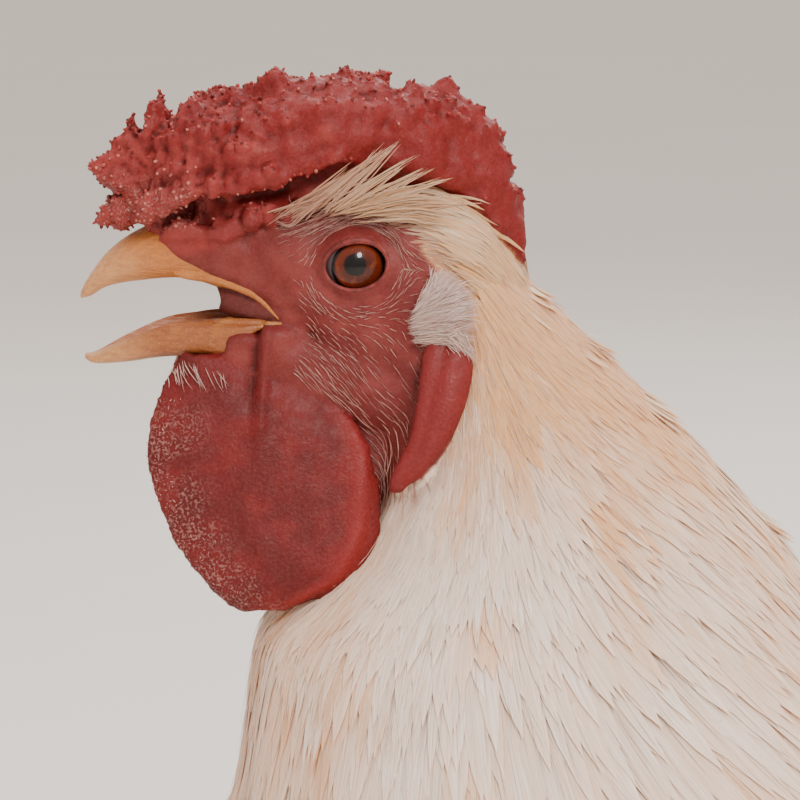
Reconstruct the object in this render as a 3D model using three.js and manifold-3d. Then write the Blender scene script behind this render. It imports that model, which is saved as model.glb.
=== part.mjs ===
// A standing rooster with a large fleshy comb, as a still, life-size model in separate pieces.
// Millimetres, +Z up. The bird faces -X and its left side is -Y.
// The body is shaped whole, then parted by thin cuts, so that its pieces meet with an even gap.
import * as THREE from "three";
import { mergeVertices } from "three/addons/utils/BufferGeometryUtils.js";
import Module from "manifold-3d";

const wasm = await Module();
wasm.setup();

// Driving dimensions
const gap = 0.3; // between pieces that meet
const eyeHeight = 420; // floor to the middle of the eyes, from which X is counted too
const eyeRadius = 7.5;
const eyeOut = 9.8; // middle of each eye from the mid-plane
const footX = 90; // middle of the feet, behind the eyes
const footY = 46; // middle of each foot from the mid-plane
const hockHeight = 108;
const secondaryCount = 5; // blades that show in each wing
const primaryCount = 3;
const tailCount = 4; // main feathers on each side
const sickleCount = 4; // curved feathers on each side

// Materials
const paint = (color, roughness) => new THREE.MeshStandardMaterial({ color, roughness, metalness: 0 });
const plumage = paint(0xe6d9c8, 0.85);
const redSkin = paint(0xa83a34, 0.6);
const combSkin = paint(0xb03a34, 0.65);
const horn = paint(0xd8a25e, 0.45);
const eyeGlass = paint(0xb4541e, 0.1);
const tongueSkin = paint(0xb9766a, 0.5);
const legScale = paint(0xdcae54, 0.55);

// ---------------------------------------------------------------- shaping

const at = (x, y, z) => new THREE.Vector3(x, y, z);

// A closed geometry as a solid. A shape that came out inside out is turned.
function solid(geometry) {
  const bare = geometry.index ? geometry.toNonIndexed() : geometry.clone();
  bare.deleteAttribute("normal");
  bare.deleteAttribute("uv");
  const merged = mergeVertices(bare, 1e-4);
  const vertProperties = new Float32Array(merged.attributes.position.array);
  const make = (triVerts) => new wasm.Manifold(new wasm.Mesh({ numProp: 3, vertProperties, triVerts }));
  const triVerts = new Uint32Array(merged.index.array);
  const made = make(triVerts);
  if (made.volume() > 0) return made;
  for (let i = 0; i < triVerts.length; i += 3) {
    [triVerts[i + 1], triVerts[i + 2]] = [triVerts[i + 2], triVerts[i + 1]];
  }
  return make(triVerts);
}

const join = (...parts) => parts.reduce((all, part) => all.add(part));
const cut = (from, ...cutters) => cutters.reduce((left, cutter) => left.subtract(cutter), from);
const biggest = (made) => made.decompose().sort((a, b) => b.volume() - a.volume())[0];

function geometryOf(made) {
  const { numProp, numVert, vertProperties, triVerts } = made.getMesh();
  const position = new Float32Array(numVert * 3);
  for (let i = 0; i < numVert; i++) {
    position.set(vertProperties.subarray(i * numProp, i * numProp + 3), i * 3);
  }
  return new THREE.BufferGeometry()
    .setAttribute("position", new THREE.BufferAttribute(position, 3))
    .setIndex(new THREE.BufferAttribute(new Uint32Array(triVerts), 1));
}

// The same solid on the other side of the mid-plane.
const mirrored = (made) => solid(geometryOf(made).scale(1, -1, 1));

// A smooth curve through table rows, read at share u of the way along.
function rowAt(rows, u) {
  const place = u * (rows.length - 1);
  const i = Math.min(Math.floor(place), rows.length - 2);
  const f = place - i;
  const [a, b, c, d] = [-1, 0, 1, 2].map((k) => rows[Math.min(Math.max(i + k, 0), rows.length - 1)]);
  return b.map((_, k) => {
    const slopeB = (c[k] - a[k]) / 2;
    const slopeC = (d[k] - b[k]) / 2;
    const rise = c[k] - b[k];
    return b[k] + f * (slopeB + f * (3 * rise - 2 * slopeB - slopeC + f * (slopeB + slopeC - 2 * rise)));
  });
}

// A sphere with each point moved: place(u, turn, end) gives it from the share u of the way from
// pole to pole, the turn round the pole in radians, and end, which is -1 and 1 at the two poles.
function spun(rings, sides, place) {
  const sphere = new THREE.SphereGeometry(1, sides, rings);
  const { position } = sphere.attributes;
  for (let i = 0; i < position.count; i++) {
    const ring = Math.floor(i / (sides + 1));
    const turn = (((i % (sides + 1)) % sides) / sides) * 2 * Math.PI;
    const u = (1 - Math.cos((ring / rings) * Math.PI)) / 2;
    const end = Number(ring === rings) - Number(ring === 0);
    position.setXYZ(i, ...place(u, turn, end).toArray());
  }
  return solid(sphere);
}

// A round form whose pole runs along X or Z, with its sections fitted to rows of
// [place, low side, high side, half width, middle in Y]. grow makes it that much larger all over,
// and square makes its sections boxier as it passes 2.
function form(axis, rows, { rings = 8, sides = 10, grow = 0, square = 2, lift = 0, lump = null } = {}) {
  const direction = Math.sign(rows.at(-1)[0] - rows[0][0]);
  const full = rows.map((row) => (row.length < 5 ? [...row, 0] : row));
  return spun(rings, sides, (u, turn, end) => {
    const [place, low, high, half, middleY] = rowAt(full, u);
    const bend = (value) => (end ? 0 : Math.sign(value) * Math.abs(value) ** (2 / square));
    const y = middleY + bend(Math.sin(turn)) * (half + grow);
    const off = (low + high) / 2 + bend(Math.cos(turn)) * ((high - low) / 2 + grow);
    const along = place + direction * end * grow;
    const point = axis === "x" ? at(along, y, lift + off) : at(off, y, lift + along);
    if (lump) lump(point);
    return point;
  });
}

// A form along a curve: sizes(u) gives [half width, half thickness], and flat is the way its thin
// side faces. With four sides its section is a flat bar.
function swept(points, sizes, { rings = 4, sides = 4, flat = at(0, 1, 0), grow = 0 } = {}) {
  const curve = new THREE.CatmullRomCurve3(points);
  const shape = sides === 4 ? (value) => Math.sign(value) : (value) => value;
  const offset = sides === 4 ? Math.PI / 4 : 0;
  return spun(rings, sides, (u, turn, end) => {
    const tangent = curve.getTangent(u);
    const wide = at(0, 0, 0).crossVectors(flat, tangent).normalize();
    const thin = at(0, 0, 0).crossVectors(tangent, wide).normalize();
    const [width, thick] = sizes(u).map((size) => (end ? 0 : size + grow));
    return curve
      .getPoint(u)
      .addScaledVector(tangent, end * grow)
      .addScaledVector(wide, shape(Math.cos(turn + offset)) * width)
      .addScaledVector(thin, shape(Math.sin(turn + offset)) * thick);
  });
}

const far = 900; // reaches past the whole bird
const aboveFloor = solid(new THREE.BoxGeometry(far, far, far).translate(0, 0, far / 2));

// A wide box turned about Y, whose top face passes through (x, z) and leans by degrees.
function below(x, z, degrees, shift = 0) {
  const box = new THREE.BoxGeometry(far, far, far).translate(0, 0, -far / 2 - shift);
  box.rotateY(THREE.MathUtils.degToRad(degrees)).translate(x, 0, z);
  return solid(box);
}

// Parts a solid at leaning planes [x, z, degrees], leaving the gap: [piece above them all, the rest].
function part(made, ...planes) {
  const under = (shift) => join(...planes.map((plane) => below(...plane, shift)));
  return [made.subtract(under(-gap / 2)), made.intersect(under(gap / 2))];
}

// ---------------------------------------------------------------- body in feather

// Rows of [x, belly line, back line, half width], from the floor
const trunkRows = [
  [-44, 246, 262, 8],
  [-34, 214, 294, 44],
  [-8, 180, 312, 70],
  [35, 156, 318, 85],
  [85, 148, 317, 91],
  [135, 156, 317, 88],
  [180, 182, 318, 74],
  [220, 218, 326, 55],
  [248, 252, 336, 36],
  [263, 284, 322, 13],
];

// Rows of [height from the eyes, throat line, nape line, half width]: neck and hackle, out to its hem.
const neckRows = [
  [18, 6, 13, 6],
  [6, 6, 27, 14],
  [-8, 6, 38, 17],
  [-22, 8, 54, 21],
  [-36, 8, 69, 27],
  [-50, 9, 82, 35],
  [-61, 0, 92, 43],
  [-72, -17, 100, 51],
  [-88, -25, 112, 62],
  [-112, -26.5, 134, 76],
  [-136, -32, 150, 85],
  [-152, -26, 140, 80],
  [-176, 0, 100, 50],
];

// Rows of [x, low line, high line, half width], from the eyes
const craniumRows = [
  [-33, -3, 5, 5],
  [-27, -6, 8, 9.5],
  [-20, -10, 11, 12],
  [-12, -16, 14, 14.2],
  [-3, -27, 16.5, 15.4],
  [7, -35, 17.5, 16.4],
  [17, -38, 16.5, 17],
  [27, -34, 10, 14.5],
  [36, -22, -4, 8],
];
const jawRows = [
  [-33, -23, -20.6, 4],
  [-28, -26, -14.4, 8.4],
  [-20, -30, -13.4, 11.2],
  [-11, -34, -12.4, 13.2],
  [0, -38, -10, 14.6],
  [11, -41, -10, 15],
  [20, -41, -14, 13],
  [28, -37, -20, 7],
];
const throatRows = [
  [-26, -19, 20, 10],
  [-36, -17, 20, 10.5],
  [-48, -15, 22, 11],
  [-58, -13, 24, 11],
  [-72, 0, 24, 9],
];

// Rows of [height, front, back, half width, middle in Y], from the floor
const thighRows = [
  [224, 58, 128, 28, 54],
  [190, 52, 148, 38, 54],
  [160, 60, 150, 34, 52],
  [138, 76, 144, 25, 49],
  [121, 92, 135, 15, footY + 0.5],
  [hockHeight + 2, 100, 128, 10.5, footY],
];

const lift = eyeHeight;
const head = (grow) =>
  join(
    form("x", craniumRows, { rings: 9, sides: 12, grow, lift, square: 2.3 }),
    form("x", jawRows, { rings: 7, sides: 10, grow, lift, square: 2.2 }),
    form("z", throatRows, { rings: 4, sides: 8, grow, lift }),
  );
const neck = (grow) => form("z", neckRows, { rings: 12, sides: 16, grow, lift, square: 2.1 });
const trunk = (grow) => form("x", trunkRows, { rings: 11, sides: 16, grow, square: 2.15 });
const thigh = (grow) => form("z", thighRows, { rings: 6, sides: 10, grow });

// ---------------------------------------------------------------- face

// An eyeball with its pole facing sideways, on the right.
const eyeball = (grow) =>
  solid(new THREE.SphereGeometry(eyeRadius + grow, 10, 7).translate(0, eyeOut, eyeHeight));

// Rows of [x, low line, high line, half width], from the eyes. The palate and the trough are
// the hollows inside the upper and the lower beak, and run back to the corner of the mouth.
const upperBeakRows = [
  [-58.5, -7.4, -6.4, 0.5],
  [-56.5, -7, -3.3, 2.2],
  [-52.5, -5.7, 1.6, 3.8],
  [-45, -4.8, 6, 5.7],
  [-37, -4.6, 7.8, 7.4],
  [-29, -6.6, 6, 9.2],
  [-22, -9.6, 0, 10.8],
  [-16, -12.4, -8, 11.4],
];
const palateRows = [
  [-56.5, -10.6, -6.2, 0.6],
  [-52.5, -10.6, -4.3, 2.4],
  [-43, -10.6, -2.6, 4.3],
  [-33, -10.6, -2.8, 6.2],
  [-23, -13.2, -6.6, 8],
  [-15, -14.4, -11, 7],
  [-9, -13.6, -12.2, 4],
];
const lowerBeakRows = [
  [-58, -20.8, -19.8, 0.8],
  [-55.5, -21.8, -18.6, 2.8],
  [-49, -22, -16.6, 4.6],
  [-41, -21.6, -13.9, 6.2],
  [-33, -21.4, -12.3, 7.8],
  [-25, -22, -11.9, 9.6],
  [-16, -21.4, -12.6, 11],
];
const troughRows = [
  [-55.5, -19, -13, 0.8],
  [-49, -18.6, -10, 3],
  [-41, -17, -10, 4.6],
  [-31, -15.8, -10, 6.2],
  [-23, -15.6, -11, 7.4],
  [-13, -14.8, -12, 6],
];
const tongueRows = [
  [-46, -16.3, -15.7, 0.8],
  [-41, -16.3, -14.6, 2.6],
  [-31, -15.3, -13.2, 3.9],
  [-19, -14.8, -12.8, 4.4],
  [-14, -14.3, -13.1, 3],
];

const palate = form("x", palateRows, { rings: 7, sides: 8, lift });
const trough = form("x", troughRows, { rings: 7, sides: 8, lift });
const upperBeak = cut(form("x", upperBeakRows, { lift }), palate);
const lowerBeak = cut(form("x", lowerBeakRows, { rings: 7, square: 2.8, lift }), trough);
const tongue = form("x", tongueRows, { rings: 5, sides: 6, lift });

// ---------------------------------------------------------------- comb, wattles and lobes

// Gentle lumps, so that no fleshy surface is an exact ellipse.
const lumpy = (size, pitch) => (point) => {
  const { x, y, z } = point;
  const wave = Math.sin(x / pitch + 1.3) * Math.sin(z / pitch) + Math.sin((x - y) / pitch) * 0.6;
  point.y += Math.tanh(y / 4) * wave * size;
  point.z += wave * size * 0.5;
};

// Rows of [x, low line, high line, half width], from the eyes: the overhanging mass, then its base.
const combRows = [
  [-49, 8, 19, 4],
  [-43, 6.5, 30, 10],
  [-33, 10, 34.5, 17],
  [-19, 13.5, 37.5, 20],
  [-4, 16.5, 39.5, 19.5],
  [10, 17, 38.5, 16],
  [21.5, 9, 35.5, 10.5],
  [30.5, -1.5, 28, 6.5],
  [35.8, -5, 12, 3],
];
const combBaseRows = [
  [-46, 3.5, 15, 5],
  [-40, 1, 17, 8.5],
  [-27, 2, 19, 11.5],
  [-10, 8, 24, 13],
  [6, 12, 26, 11],
  [16, 12, 26, 6],
];

// Fingers at the front, each [tip x, tip y, tip height, root radius]
const combFingers = [
  [-56, -3, 21.5, 4.6],
  [-51, 5, 31, 4.2],
  [-48, -6, 33, 3.8],
  [-55, 2, 7.5, 4],
  [-42, -2, 38.5, 3.8],
  [-52, 8, 14.5, 3.8],
];
const combHeart = at(-36, 0, 20);
const tapered = (radius) => (u) => [radius * (1.2 - 0.65 * u), radius * (1.1 - 0.6 * u)];

function finger([x, y, z, radius], grow) {
  const tip = at(x, y, z);
  const root = combHeart.clone().setY(y * 0.6);
  const middle = root.clone().lerp(tip, 0.5).setY(y);
  return swept([root, middle, tip], tapered(radius), { rings: 3, sides: 5, grow });
}

// Knobs along the top, in two rows where the comb is wide and one behind.
const knobRows = 6;
const knobPitch = 10.6;
function knobs(grow) {
  const made = [];
  for (let row = 0; row < knobRows; row++) {
    const x = -34 + row * knobPitch;
    const [, , top, half] = rowAt(combRows, (row + 1.4) / (knobRows + 1.6));
    for (const side of half > 12 ? [-1, 1] : [0]) {
      const sway = Math.sin(row * 2.4 + side * 1.7);
      const y = side * half * 0.62;
      const z = top - 3.5 * Math.abs(side);
      const path = [at(x, y * 0.8, z - 7), at(x + sway, y, z), at(x + 1.6 * sway, y * 1.1, z + 1.6 + sway)];
      made.push(swept(path, tapered(3.4 + 0.6 * sway), { rings: 2, sides: 5, flat: at(1, 0, 0), grow }));
    }
  }
  return made;
}

function comb(grow) {
  const mass = form("x", combRows, { rings: 12, sides: 12, square: 2.4, lump: lumpy(1.1, 4.3), grow });
  const base = form("x", combBaseRows, { rings: 6, sides: 8, lump: lumpy(0.7, 4), grow });
  const all = join(mass, base, ...combFingers.map((row) => finger(row, grow)), ...knobs(grow));
  return all.translate([0, 0, lift]);
}

// Rows of [height from the eyes, front, back, half thickness, middle in Y]
const wattleRows = [
  [-18.5, -35, -25, 2.4, 8.5],
  [-25, -39.5, -10, 3.2, 10.4],
  [-34, -42.5, -2, 3.4, 12.6],
  [-44, -43.5, 3, 3.2, 14.6],
  [-54, -41.5, 5.6, 3.2, 16.6],
  [-63, -36, 3.8, 3.4, 18],
  [-70.5, -29, -3, 3.2, 18.6],
  [-75, -21, -12, 1.8, 18.4],
];
const lobeRows = [
  [-13, 16, 22, 2, 17.6],
  [-20, 14.6, 25, 3, 19.6],
  [-30, 13.6, 24.6, 3.4, 22.4],
  [-40, 9.6, 19.6, 3.2, 23.4],
  [-48, 6.4, 13.4, 2.4, 22.4],
  [-51.5, 6.6, 10, 1.2, 21.6],
];
const earTuftRows = [
  [-3.5, 17, 22, 2.6, 15.6],
  [-7, 13.4, 25.5, 3.6, 16.6],
  [-12, 12.4, 26, 3.8, 17],
  [-18, 16, 25.4, 2.6, 18.4],
];
const fleshy = (rows) => (grow) => form("z", rows, { rings: 7, sides: 8, lift, grow });
const wattle = fleshy(wattleRows);
const earlobe = fleshy(lobeRows);
const earTuft = fleshy(earTuftRows);

// ---------------------------------------------------------------- wings and tail

// A feather blade: broad along most of its length and rounded off at the tip.
const bladeWidth = (half) => (u) => half * Math.min(1, 0.35 + 3 * u) * Math.sqrt(Math.max(0.02, 1 - u ** 6));

// The wing's covering, rows of [x, low line, high line, half thickness, middle in Y]
const wingBowRows = [
  [0, 262, 282, 4, 60],
  [10, 246, 296, 10, 67],
  [40, 224, 306, 13, 82],
  [80, 214, 308, 13, 86],
  [115, 218, 304, 11, 86],
  [140, 232, 296, 7, 83],
  [152, 252, 284, 3, 79],
];

// Flight feathers in a fan. Each lies a little further in than the one above it.
function flight({ count, root, rootStep, tip, tipStep, half, thick }, grow) {
  const flat = at(-0.25, 1, 0.12).normalize();
  const blades = [];
  for (let i = 0; i < count; i++) {
    const start = root.clone().addScaledVector(rootStep, i);
    const end = tip.clone().addScaledVector(tipStep, i);
    const middle = start.clone().lerp(end, 0.5).add(at(0, 5, 2));
    blades.push(swept([start, middle, end], (u) => [bladeWidth(half)(u), thick], { flat, grow }));
  }
  return join(...blades);
}
const secondaryFan = {
  count: secondaryCount,
  root: at(96, 84, 296),
  rootStep: at(-2, 0.6, -12.6),
  tip: at(214, 60, 292),
  tipStep: at(-0.5, 0.4, -11.2),
  half: 9.2,
  thick: 1.8,
};
const primaryFan = {
  count: primaryCount,
  root: at(140, 77, 250),
  rootStep: at(-4, 0, -6),
  tip: at(243, 50, 262),
  tipStep: at(-6, -0.6, -8),
  half: 7,
  thick: 1.6,
};
const wingBow = (grow) => form("x", wingBowRows, { rings: 8, sides: 12, grow });
const secondaries = (grow) => flight(secondaryFan, grow);
const primaries = (grow) => flight(primaryFan, grow);

// The main tail feathers of one side. The first is the steepest, and each one after it leans
// further back and lies a little further out.
const tailRoot = at(228, 3, 308);
function tailSide(grow) {
  const blades = [];
  for (let i = 0; i < tailCount; i++) {
    const lean = THREE.MathUtils.degToRad(64 - i * 11.5);
    const length = 138 - i * 3;
    const start = tailRoot.clone().add(at(-i, i * 2.4, -i * 9));
    const end = start.clone().add(at(Math.cos(lean) * length, 7 - i * 0.3, Math.sin(lean) * length));
    const middle = start.clone().lerp(end, 0.5).add(at(-4, 1, 4));
    blades.push(swept([start, middle, end], (u) => [bladeWidth(15.5)(u), 1.5], { grow }));
  }
  return join(...blades);
}

// Sickles arch up and back, then droop. The first is the longest and runs over the tail, and the
// others lie outside it.
const sicklePath = [[0, 0, 0], [34, 3, 78], [86, 7, 126], [146, 12, 122], [188, 16, 78], [206, 18, 26]];
function sickle(k, grow) {
  const size = 1 - k * 0.14;
  const start = at(228 - k * 9, k === 0 ? 5 : 16 + k * 3.6, 312 - k * 5);
  const spread = 0.5 + 0.3 * k;
  const path = sicklePath.map(([x, out, z]) => start.clone().add(at(x * size, out * spread, z * size)));
  const sizes = (u) => [(14 - k) * Math.min(1, 0.4 + 2 * u) * Math.sqrt(Math.max(0.03, 1 - u ** 3)), 1.2];
  return swept(path, sizes, { rings: 9, flat: at(0, 1, 0.06), grow });
}

// ---------------------------------------------------------------- legs and feet

const shankRows = [
  [hockHeight + 12, 106, 124, 7.4, footY],
  [hockHeight - 1, 103, 127, 9.4, footY],
  [hockHeight - 14, 102, 120.5, 7.8, footY],
  [64, 96, 111.5, 6.8, footY],
  [30, 88.5, 104, 7, footY],
  [15, 81, 103, 9, footY],
  [5, 79, 101, 10.4, footY],
  [-3, 82, 98, 8, footY],
];
const cutAtFloor = (made) => made.intersect(aboveFloor);
const shank = (grow) => cutAtFloor(form("z", shankRows, { rings: 7, sides: 7, grow }));

// Toes, turned about the middle of the foot.
const toes = [
  { name: "inner", turn: -34, length: 50, girth: 5.2 },
  { name: "middle", turn: 3, length: 66, girth: 5.6 },
  { name: "outer", turn: 38, length: 53, girth: 5.2 },
  { name: "hind", turn: 158, length: 27, girth: 4.6 },
];
const middleToe = toes[1];
const toeRoot = 6; // start of a toe from the middle of the foot
const padPitch = 22;
const solePress = 1.2; // how far the pads would sink in, if they weren't flat below

const turned = (made, turn) =>
  solid(geometryOf(made).rotateZ(THREE.MathUtils.degToRad(turn)).translate(footX, footY, 0));

// A toe along -X with a pad under each joint, flat where it stands.
function toe({ turn, length, girth }, grow) {
  const steps = Math.max(2, Math.round(length / padPitch)) * 2 + 1;
  const rows = [];
  for (let i = 0; i <= steps; i++) {
    const s = i / steps;
    const size = girth * (1 - 0.3 * s) * (i % 2 ? 1.09 : 0.93);
    const top = size * 1.9 - solePress + (i === 0 ? 3 : 0);
    rows.push([-toeRoot - s * (length - toeRoot), -solePress, top, size]);
  }
  rows.push([-length - 1.5, 1, 4, 1.5]);
  return cutAtFloor(turned(form("x", rows, { rings: steps, sides: 6, grow }), turn));
}

function claw({ turn, length, girth }, grow) {
  const rows = [
    [-length + 4, 2, girth * 1.3, girth * 0.5],
    [-length - 2, 1.6, girth * 1.45, girth * 0.52],
    [-length - 7, 1.6, girth * 1.2, girth * 0.38],
    [-length - 12, 0.9, girth * 0.55, girth * 0.18],
    [-length - 14, 0.4, 1, 0.3],
  ];
  return cutAtFloor(turned(form("x", rows, { rings: 5, sides: 6, grow }), turn));
}

function spur(grow) {
  const path = [at(98, footY - 3, 40), at(110, footY - 9, 42), at(123, footY - 14, 49)];
  return swept(path, (u) => [4.6 * (1 - 0.85 * u), 4.2 * (1 - 0.85 * u)], { rings: 5, sides: 6, grow });
}

// ---------------------------------------------------------------- the bird

const bird = new THREE.Group();
function add(name, made, material) {
  const mesh = new THREE.Mesh(geometryOf(biggest(made)), material);
  mesh.geometry.computeVertexNormals();
  mesh.name = name;
  bird.add(mesh);
}
const bothSides = (made) => join(made, mirrored(made));

// Head and neck are shaped whole, then parted behind the face.
const mouth = join(palate, trough);
const sockets = bothSides(eyeball(gap * 2));
const faceRooms = bothSides(join(wattle(gap), earlobe(gap), earTuft(gap)));
const upper = join(head(0), neck(0));
const [headWhole, neckWhole] = part(upper, [11, eyeHeight - 38, -68], [0, eyeHeight - 57, 0]);
const headRoom = head(gap);
const neckRoom = neck(gap);
const trunkRoom = trunk(gap);
add("head", cut(headWhole, mouth, sockets, faceRooms), redSkin);
add("neck", cut(neckWhole, faceRooms), plumage);
add("comb", cut(comb(0), headRoom, neckRoom), combSkin);
add("beak_upper", cut(upperBeak, headRoom, comb(gap)), horn);
add("beak_lower", cut(lowerBeak, headRoom, bothSides(wattle(gap))), horn);
add("tongue", tongue, tongueSkin);
add("trunk", cut(trunk(0), neckRoom, bothSides(thigh(gap))), plumage);

const sides = { left: mirrored, right: (made) => made };
for (const [side, place] of Object.entries(sides)) {
  const named = (name, made, material, ...rooms) =>
    add(`${name}_${side}`, cut(place(made), ...rooms), material);
  const [bowRoom, secondaryRoom, shankRoom] = [wingBow, secondaries, shank].map((shape) => place(shape(gap)));
  named("eye", eyeball(0), eyeGlass);
  named("wattle", wattle(0), redSkin);
  named("earlobe", earlobe(0), redSkin);
  named("ear_tuft", earTuft(0), plumage, place(earlobe(gap)));
  named("wing_bow", wingBow(0), plumage, neckRoom, trunkRoom);
  named("wing_secondaries", secondaries(0), plumage, trunkRoom, bowRoom);
  named("wing_primaries", primaries(0), plumage, trunkRoom, bowRoom, secondaryRoom);
  named("thigh", thigh(0), plumage, shankRoom);

  const footRooms = join(spur(gap), ...toes.map((kind) => toe(kind, gap)));
  named("shank", cut(shank(0), footRooms), legScale);
  named("spur", spur(0), horn);
  for (const kind of toes) {
    const others = kind === middleToe ? [] : [toe(middleToe, gap)];
    named(`toe_${kind.name}`, cut(toe(kind, 0), claw(kind, gap), ...others), legScale);
    named(`claw_${kind.name}`, claw(kind, 0), horn);
  }

  const tailRoom = place(tailSide(gap));
  named("tail_feathers", tailSide(0), plumage, trunkRoom);
  for (let k = 0; k < sickleCount; k++) {
    named(`sickle_${k + 1}`, sickle(k, 0), plumage, trunkRoom, tailRoom);
  }
}

const bounds = new THREE.Box3().setFromObject(bird);
const middle = bounds.getCenter(new THREE.Vector3());
bird.children.forEach((mesh) => mesh.geometry.translate(-middle.x, -middle.y, -bounds.min.z));

export default bird;
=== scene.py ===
# A life-size still model of a standing white rooster with a large, crumpled comb.
# Metres, +Z up. The bird faces -X and its left side is -Y.
import math
import bmesh
import bpy
import numpy as np
from mathutils import Matrix, Vector, noise
from mathutils.bvhtree import BVHTree
from mathutils.kdtree import KDTree


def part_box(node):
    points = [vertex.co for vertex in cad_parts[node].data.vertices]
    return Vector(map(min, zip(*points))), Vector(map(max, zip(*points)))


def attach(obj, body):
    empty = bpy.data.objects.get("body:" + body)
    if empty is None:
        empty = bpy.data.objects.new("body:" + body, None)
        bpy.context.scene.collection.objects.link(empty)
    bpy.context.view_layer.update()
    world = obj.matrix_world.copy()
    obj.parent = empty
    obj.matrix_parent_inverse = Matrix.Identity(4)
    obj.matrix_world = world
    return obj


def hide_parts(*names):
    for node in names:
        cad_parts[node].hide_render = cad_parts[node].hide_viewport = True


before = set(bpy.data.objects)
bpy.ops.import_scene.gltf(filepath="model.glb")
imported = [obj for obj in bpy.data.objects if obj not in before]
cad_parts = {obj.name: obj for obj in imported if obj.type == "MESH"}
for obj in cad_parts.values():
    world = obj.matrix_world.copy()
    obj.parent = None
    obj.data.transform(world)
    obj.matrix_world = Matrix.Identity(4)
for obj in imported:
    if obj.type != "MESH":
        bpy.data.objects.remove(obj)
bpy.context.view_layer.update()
scene = bpy.context.scene
dice = np.random.default_rng(5)

mm = 0.001
eyeLow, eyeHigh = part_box("eye_right")
eyeMid = Vector(((eyeLow.x + eyeHigh.x) / 2, 0, (eyeLow.z + eyeHigh.z) / 2))  # between the eyes
eyeOut = (eyeLow.y + eyeHigh.y) / 2
eyeRadius = (eyeHigh.y - eyeLow.y) / 2
sides = {"left": -1, "right": 1}


# measures: tables are in millimetres from the point between the eyes, X back, Z up

def fromEye(x, y, z):
    return eyeMid + Vector((x, y, z)) * mm


def localOf(points):
    return (points - np.array(eyeMid)) / mm


def worldOf(points):
    return np.asarray(points, float) * mm + np.array(eyeMid)


def unit(vectors):
    return vectors / np.maximum(np.linalg.norm(vectors, axis=-1, keepdims=True), 1e-12)


def ease(values, low, high):
    share = np.clip((values - low) / (high - low), 0, 1)
    return share * share * (3 - 2 * share)


# a rounded rise of height 1 about a middle
def bell(values, middle, width):
    return np.exp(-((values - middle) / width) ** 2)


def mixed(a, b, share):
    share = np.asarray(share, float)[..., None]
    return np.asarray(a, float) * (1 - share) + np.asarray(b, float) * share


def tint(code):
    parts = [int(code[i:i + 2], 16) / 255 for i in (1, 3, 5)]
    return np.array([p / 12.92 if p <= 0.04045 else ((p + 0.055) / 1.055) ** 2.4 for p in parts])


def blend(first, second, share):
    return mixed(tint(first), tint(second), share)


def noiseOf(points, pitch, octaves=2, shift=0.0):
    move = Vector((shift * 3.1, shift * 1.7, shift * 2.3))
    return np.array([noise.fractal(Vector(p) / pitch + move, 1.0, 2.0, octaves) for p in points])


# meshes

def addObject(name, mesh):
    body = bpy.data.objects.new(name, mesh)
    scene.collection.objects.link(body)
    return body


def objectFrom(name, work):
    mesh = bpy.data.meshes.new(name)
    work.to_mesh(mesh)
    work.free()
    return addObject(name, mesh)


def applied(body):
    shown = body.evaluated_get(bpy.context.evaluated_depsgraph_get())
    mesh = bpy.data.meshes.new_from_object(shown)
    body.modifiers.clear()
    body.data = mesh
    return body


def remeshed(body, voxel, smoothing=0):
    step = body.modifiers.new("voxels", "REMESH")
    step.mode = "VOXEL"
    step.voxel_size = voxel
    if smoothing:
        soften = body.modifiers.new("soften", "SMOOTH")
        soften.factor = 0.5
        soften.iterations = smoothing
    return applied(body)


def combined(body, other, operation):
    step = body.modifiers.new("combine", "BOOLEAN")
    step.operation = operation
    step.solver = "MANIFOLD"
    step.object = other
    applied(body)
    bpy.data.objects.remove(other)
    return body


def pointsOf(mesh):
    found = np.empty(len(mesh.vertices) * 3, np.float32)
    mesh.vertices.foreach_get("co", found)
    return found.reshape(-1, 3).astype(float)


def normalsOf(mesh):
    found = np.empty(len(mesh.vertices) * 3, np.float32)
    mesh.vertex_normals.foreach_get("vector", found)
    return found.reshape(-1, 3).astype(float)


def setPoints(mesh, points):
    mesh.vertices.foreach_set("co", np.asarray(points, np.float32).ravel())
    mesh.update()


def setColours(mesh, name, colours):
    layer = mesh.attributes.new(name, "FLOAT_COLOR", "POINT")
    full = np.ones((len(colours), 4), np.float32)
    full[:, :3] = colours
    layer.data.foreach_set("color", full.ravel())


def setNumbers(mesh, name, values):
    mesh.attributes.new(name, "FLOAT", "POINT").data.foreach_set("value", values.astype(np.float32))


def smoothShade(body):
    body.data.polygons.foreach_set("use_smooth", np.ones(len(body.data.polygons), bool))


# each value shared out to its neighbours, again and again
def spreadOut(mesh, values, times):
    edges = np.empty(len(mesh.edges) * 2, np.int32)
    mesh.edges.foreach_get("vertices", edges)
    a, b = edges.reshape(-1, 2).T
    flat = values.reshape(len(values), -1)
    count = np.maximum(np.bincount(a, minlength=len(flat)) + np.bincount(b, minlength=len(flat)), 1)
    for _ in range(times):
        around = np.stack([
            np.bincount(a, flat[b, k], len(flat)) + np.bincount(b, flat[a, k], len(flat))
            for k in range(flat.shape[1])], 1)
        flat = (flat + around / count[:, None]) / 2
    return flat.reshape(values.shape)


# how far each point stands out of its surroundings, in metres
def standingOut(mesh, times):
    points = pointsOf(mesh)
    return ((points - spreadOut(mesh, points, times)) * normalsOf(mesh)).sum(1)


def nodeCopy(names, growth=0.0):
    work = bmesh.new()
    for name in names:
        work.from_mesh(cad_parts[name].data)
    bmesh.ops.remove_doubles(work, verts=work.verts, dist=1e-5)
    work.normal_update()
    for vert in work.verts:
        vert.co += vert.normal * growth
    return work


def treeOf(work):
    work.normal_update()
    tree = BVHTree.FromBMesh(work)
    work.free()
    return tree


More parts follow.
